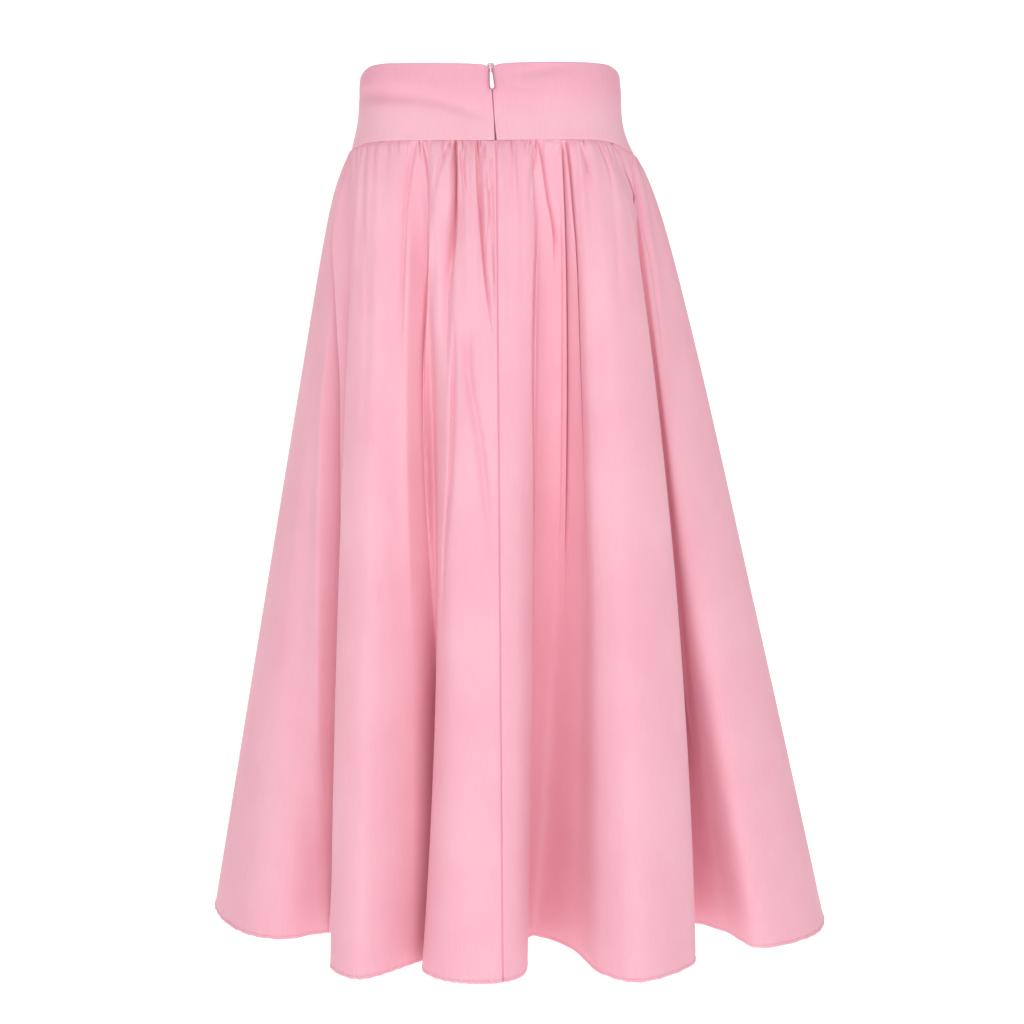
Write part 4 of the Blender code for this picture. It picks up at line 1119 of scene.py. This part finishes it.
def pull_rim():
    """Outline (x, z) of the teardrop: an arc round the eye and a wider one round the bulb, which
    meet along their common tangents, walked in even steps."""
    top = PULL_BAR_TOP - PULL_TOP_RADIUS
    bulb = PULL_BULB_RADIUS - PULL_LENGTH
    tilt = math.asin((PULL_BULB_RADIUS - PULL_TOP_RADIUS) / (top - bulb))
    bends = (np.linspace(-tilt, math.pi + tilt, 25), np.linspace(math.pi + tilt, 2 * math.pi - tilt, 25))
    arcs = [np.stack([radius * np.cos(bend), middle + radius * np.sin(bend)], axis=-1)
            for bend, radius, middle in zip(bends, (PULL_TOP_RADIUS, PULL_BULB_RADIUS), (top, bulb))]
    corners = np.concatenate([*arcs, arcs[0][:1]])
    walked = np.concatenate([[0.0], np.cumsum(np.linalg.norm(np.diff(corners, axis=0), axis=1))])
    stops = np.linspace(0, walked[-1], PULL_SIDES, endpoint=False)
    return np.stack([np.interp(stops, walked, corners[:, axis]) for axis in (0, 1)], axis=-1)


def pull_eye(rim):
    """Outline (x, z) of the eye: an ellipse, one point opposite each point of the rim."""
    middle = -PULL_BAR_HALF - PULL_EYE_DEPTH / 2
    bend = np.arctan2(rim[:, 1] - middle, rim[:, 0])
    return np.stack([PULL_EYE_HALF_WIDTH * np.cos(bend),
                     middle + PULL_EYE_DEPTH / 2 * np.sin(bend)], axis=-1)


def pull_rings():
    """Rings round the pull, one for each row of its section: between the eye and the rim by the
    row's share, off the middle by its depth, then leant and hung from the bail. Also gives how
    far inside the rim each point lies, from 0 to 1."""
    rim = pull_rim()
    share = PULL_SECTION["share"][:, None, None]
    flat = pull_eye(rim)[None] * (1 - share) + rim[None] * share
    depth = np.broadcast_to(PULL_SECTION["depth"][:, None, None] * PULL_THICKNESS / 2,
                            (len(PULL_SECTION), PULL_SIDES, 1))
    lean = math.radians(-PULL_LEAN)
    across, up = flat[..., :1], flat[..., 1:]
    hung = np.concatenate([across * math.cos(lean) + up * math.sin(lean), depth - PULL_STAND_OFF,
                           up * math.cos(lean) - across * math.sin(lean) - PULL_DROP], axis=-1)
    to_rim = np.min(np.linalg.norm(flat[:, :, None] - rim[None, None], axis=-1), axis=-1)
    return hung, np.clip(to_rim / PULL_PAINTED_RIM_SHADE_WIDTH, 0, 1)


hung, inside = pull_rings()
at = np.arange(inside.size).reshape(inside.shape)
below = np.roll(at, -1, axis=0)
quads = np.stack([at, below, np.roll(below, -1, axis=1), np.roll(at, -1, axis=1)], axis=-1)
# The pull's enamel is deep rose as painted shade within 1.5 mm of its rim, and near white as a painted
# highlight on its face.
pull = cast_piece("teardrop_pull", hung, quads.reshape(-1, 4).tolist(), inside, enamel)
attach(pull, "pull_tab")
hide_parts("zip_pull")

# ---------------------------------------------------------------------------------------------
# Floor, light and camera: a plain white sweep that runs from the floor up into the wall, large
# soft lamps in front, beside and behind, and a lens above the skirt's middle, looking down.
# ---------------------------------------------------------------------------------------------
FLOOR_LEVEL = -1.02
SWEEP_HALF_WIDTH = 9.0
SWEEP_NEAR = -9.0
SWEEP_FAR = 3.2
SWEEP_RADIUS = 2.0
SWEEP_TOP = 6.0
CAMERA_PLACE = (0.0196, -1.9, -0.2012)
CAMERA_DOWN = 5.8
CAMERA_LENS = 73.1

bend = np.linspace(0, math.pi / 2, 25)
sweep_y = np.concatenate([[SWEEP_NEAR, SWEEP_FAR], SWEEP_FAR + SWEEP_RADIUS * np.sin(bend[1:]),
                          [SWEEP_FAR + SWEEP_RADIUS]])
sweep_z = np.concatenate([[0, 0], SWEEP_RADIUS * (1 - np.cos(bend[1:])), [SWEEP_TOP]]) + FLOOR_LEVEL
sweep_rows = len(sweep_y)
sweep_points = [(side * SWEEP_HALF_WIDTH, y, z) for side in (-1, 1) for y, z in zip(sweep_y, sweep_z)]
sweep_faces = [(row, sweep_rows + row, sweep_rows + row + 1, row + 1) for row in range(sweep_rows - 1)]
sweep_paint, sweep_surface = empty_material("matt_white_painted_sweep")
sweep_shader = add_node(
    sweep_paint, "ShaderNodeBsdfPrincipled", None,
    {"Base Color": linear("#fafafa"), "Roughness": 0.9, "Emission Color": (1, 1, 1, 1),
     "Emission Strength": 0.5},
)
sweep_paint.node_tree.links.new(sweep_shader.outputs["BSDF"], sweep_surface)
sweep = add_piece("sweep", sweep_points, sweep_faces, sweep_paint, 180)

world = bpy.data.worlds.new("white_studio")
bpy.context.scene.world = world
world.use_nodes = True
world.node_tree.nodes.clear()
world_output = add_node(world, "ShaderNodeOutputWorld")
backdrop = add_node(world, "ShaderNodeBackground", None, {"Color": (1, 1, 1, 1), "Strength": 0.4})
world.node_tree.links.new(backdrop.outputs["Background"], world_output.inputs["Surface"])


def soft_lamp(name, place, size, power):
    """A square area lamp that faces the middle of the skirt."""
    lamp = bpy.data.lights.new(name, "AREA")
    lamp.size, lamp.energy = size, power
    thing = bpy.data.objects.new(name, lamp)
    thing.location = place
    aim = Vector((0, 0, -0.4)) - Vector(place)
    thing.rotation_euler = aim.to_track_quat("-Z", "Y").to_euler()
    bpy.context.scene.collection.objects.link(thing)


soft_lamp("front_lamp", (0.0, -3.2, -0.5), 1.8, 19.5)
soft_lamp("right_lamp", (1.6, -3.0, 1.2), 1.4, 25.5)
soft_lamp("left_lamp", (-1.6, -3.0, 1.2), 1.4, 22)
soft_lamp("rear_lamp", (-1.2, 2.8, 1.6), 1.6, 20)

bpy.context.scene.view_settings.view_transform = "Standard"
lens = bpy.data.cameras.new("camera")
lens.lens, lens.sensor_width = CAMERA_LENS, 36
camera = bpy.data.objects.new("camera", lens)
camera.location = CAMERA_PLACE
camera.rotation_euler = (math.radians(90 - CAMERA_DOWN), 0, 0)
bpy.context.scene.collection.objects.link(camera)
bpy.context.scene.camera = camera

bpy.context.view_layer.update()
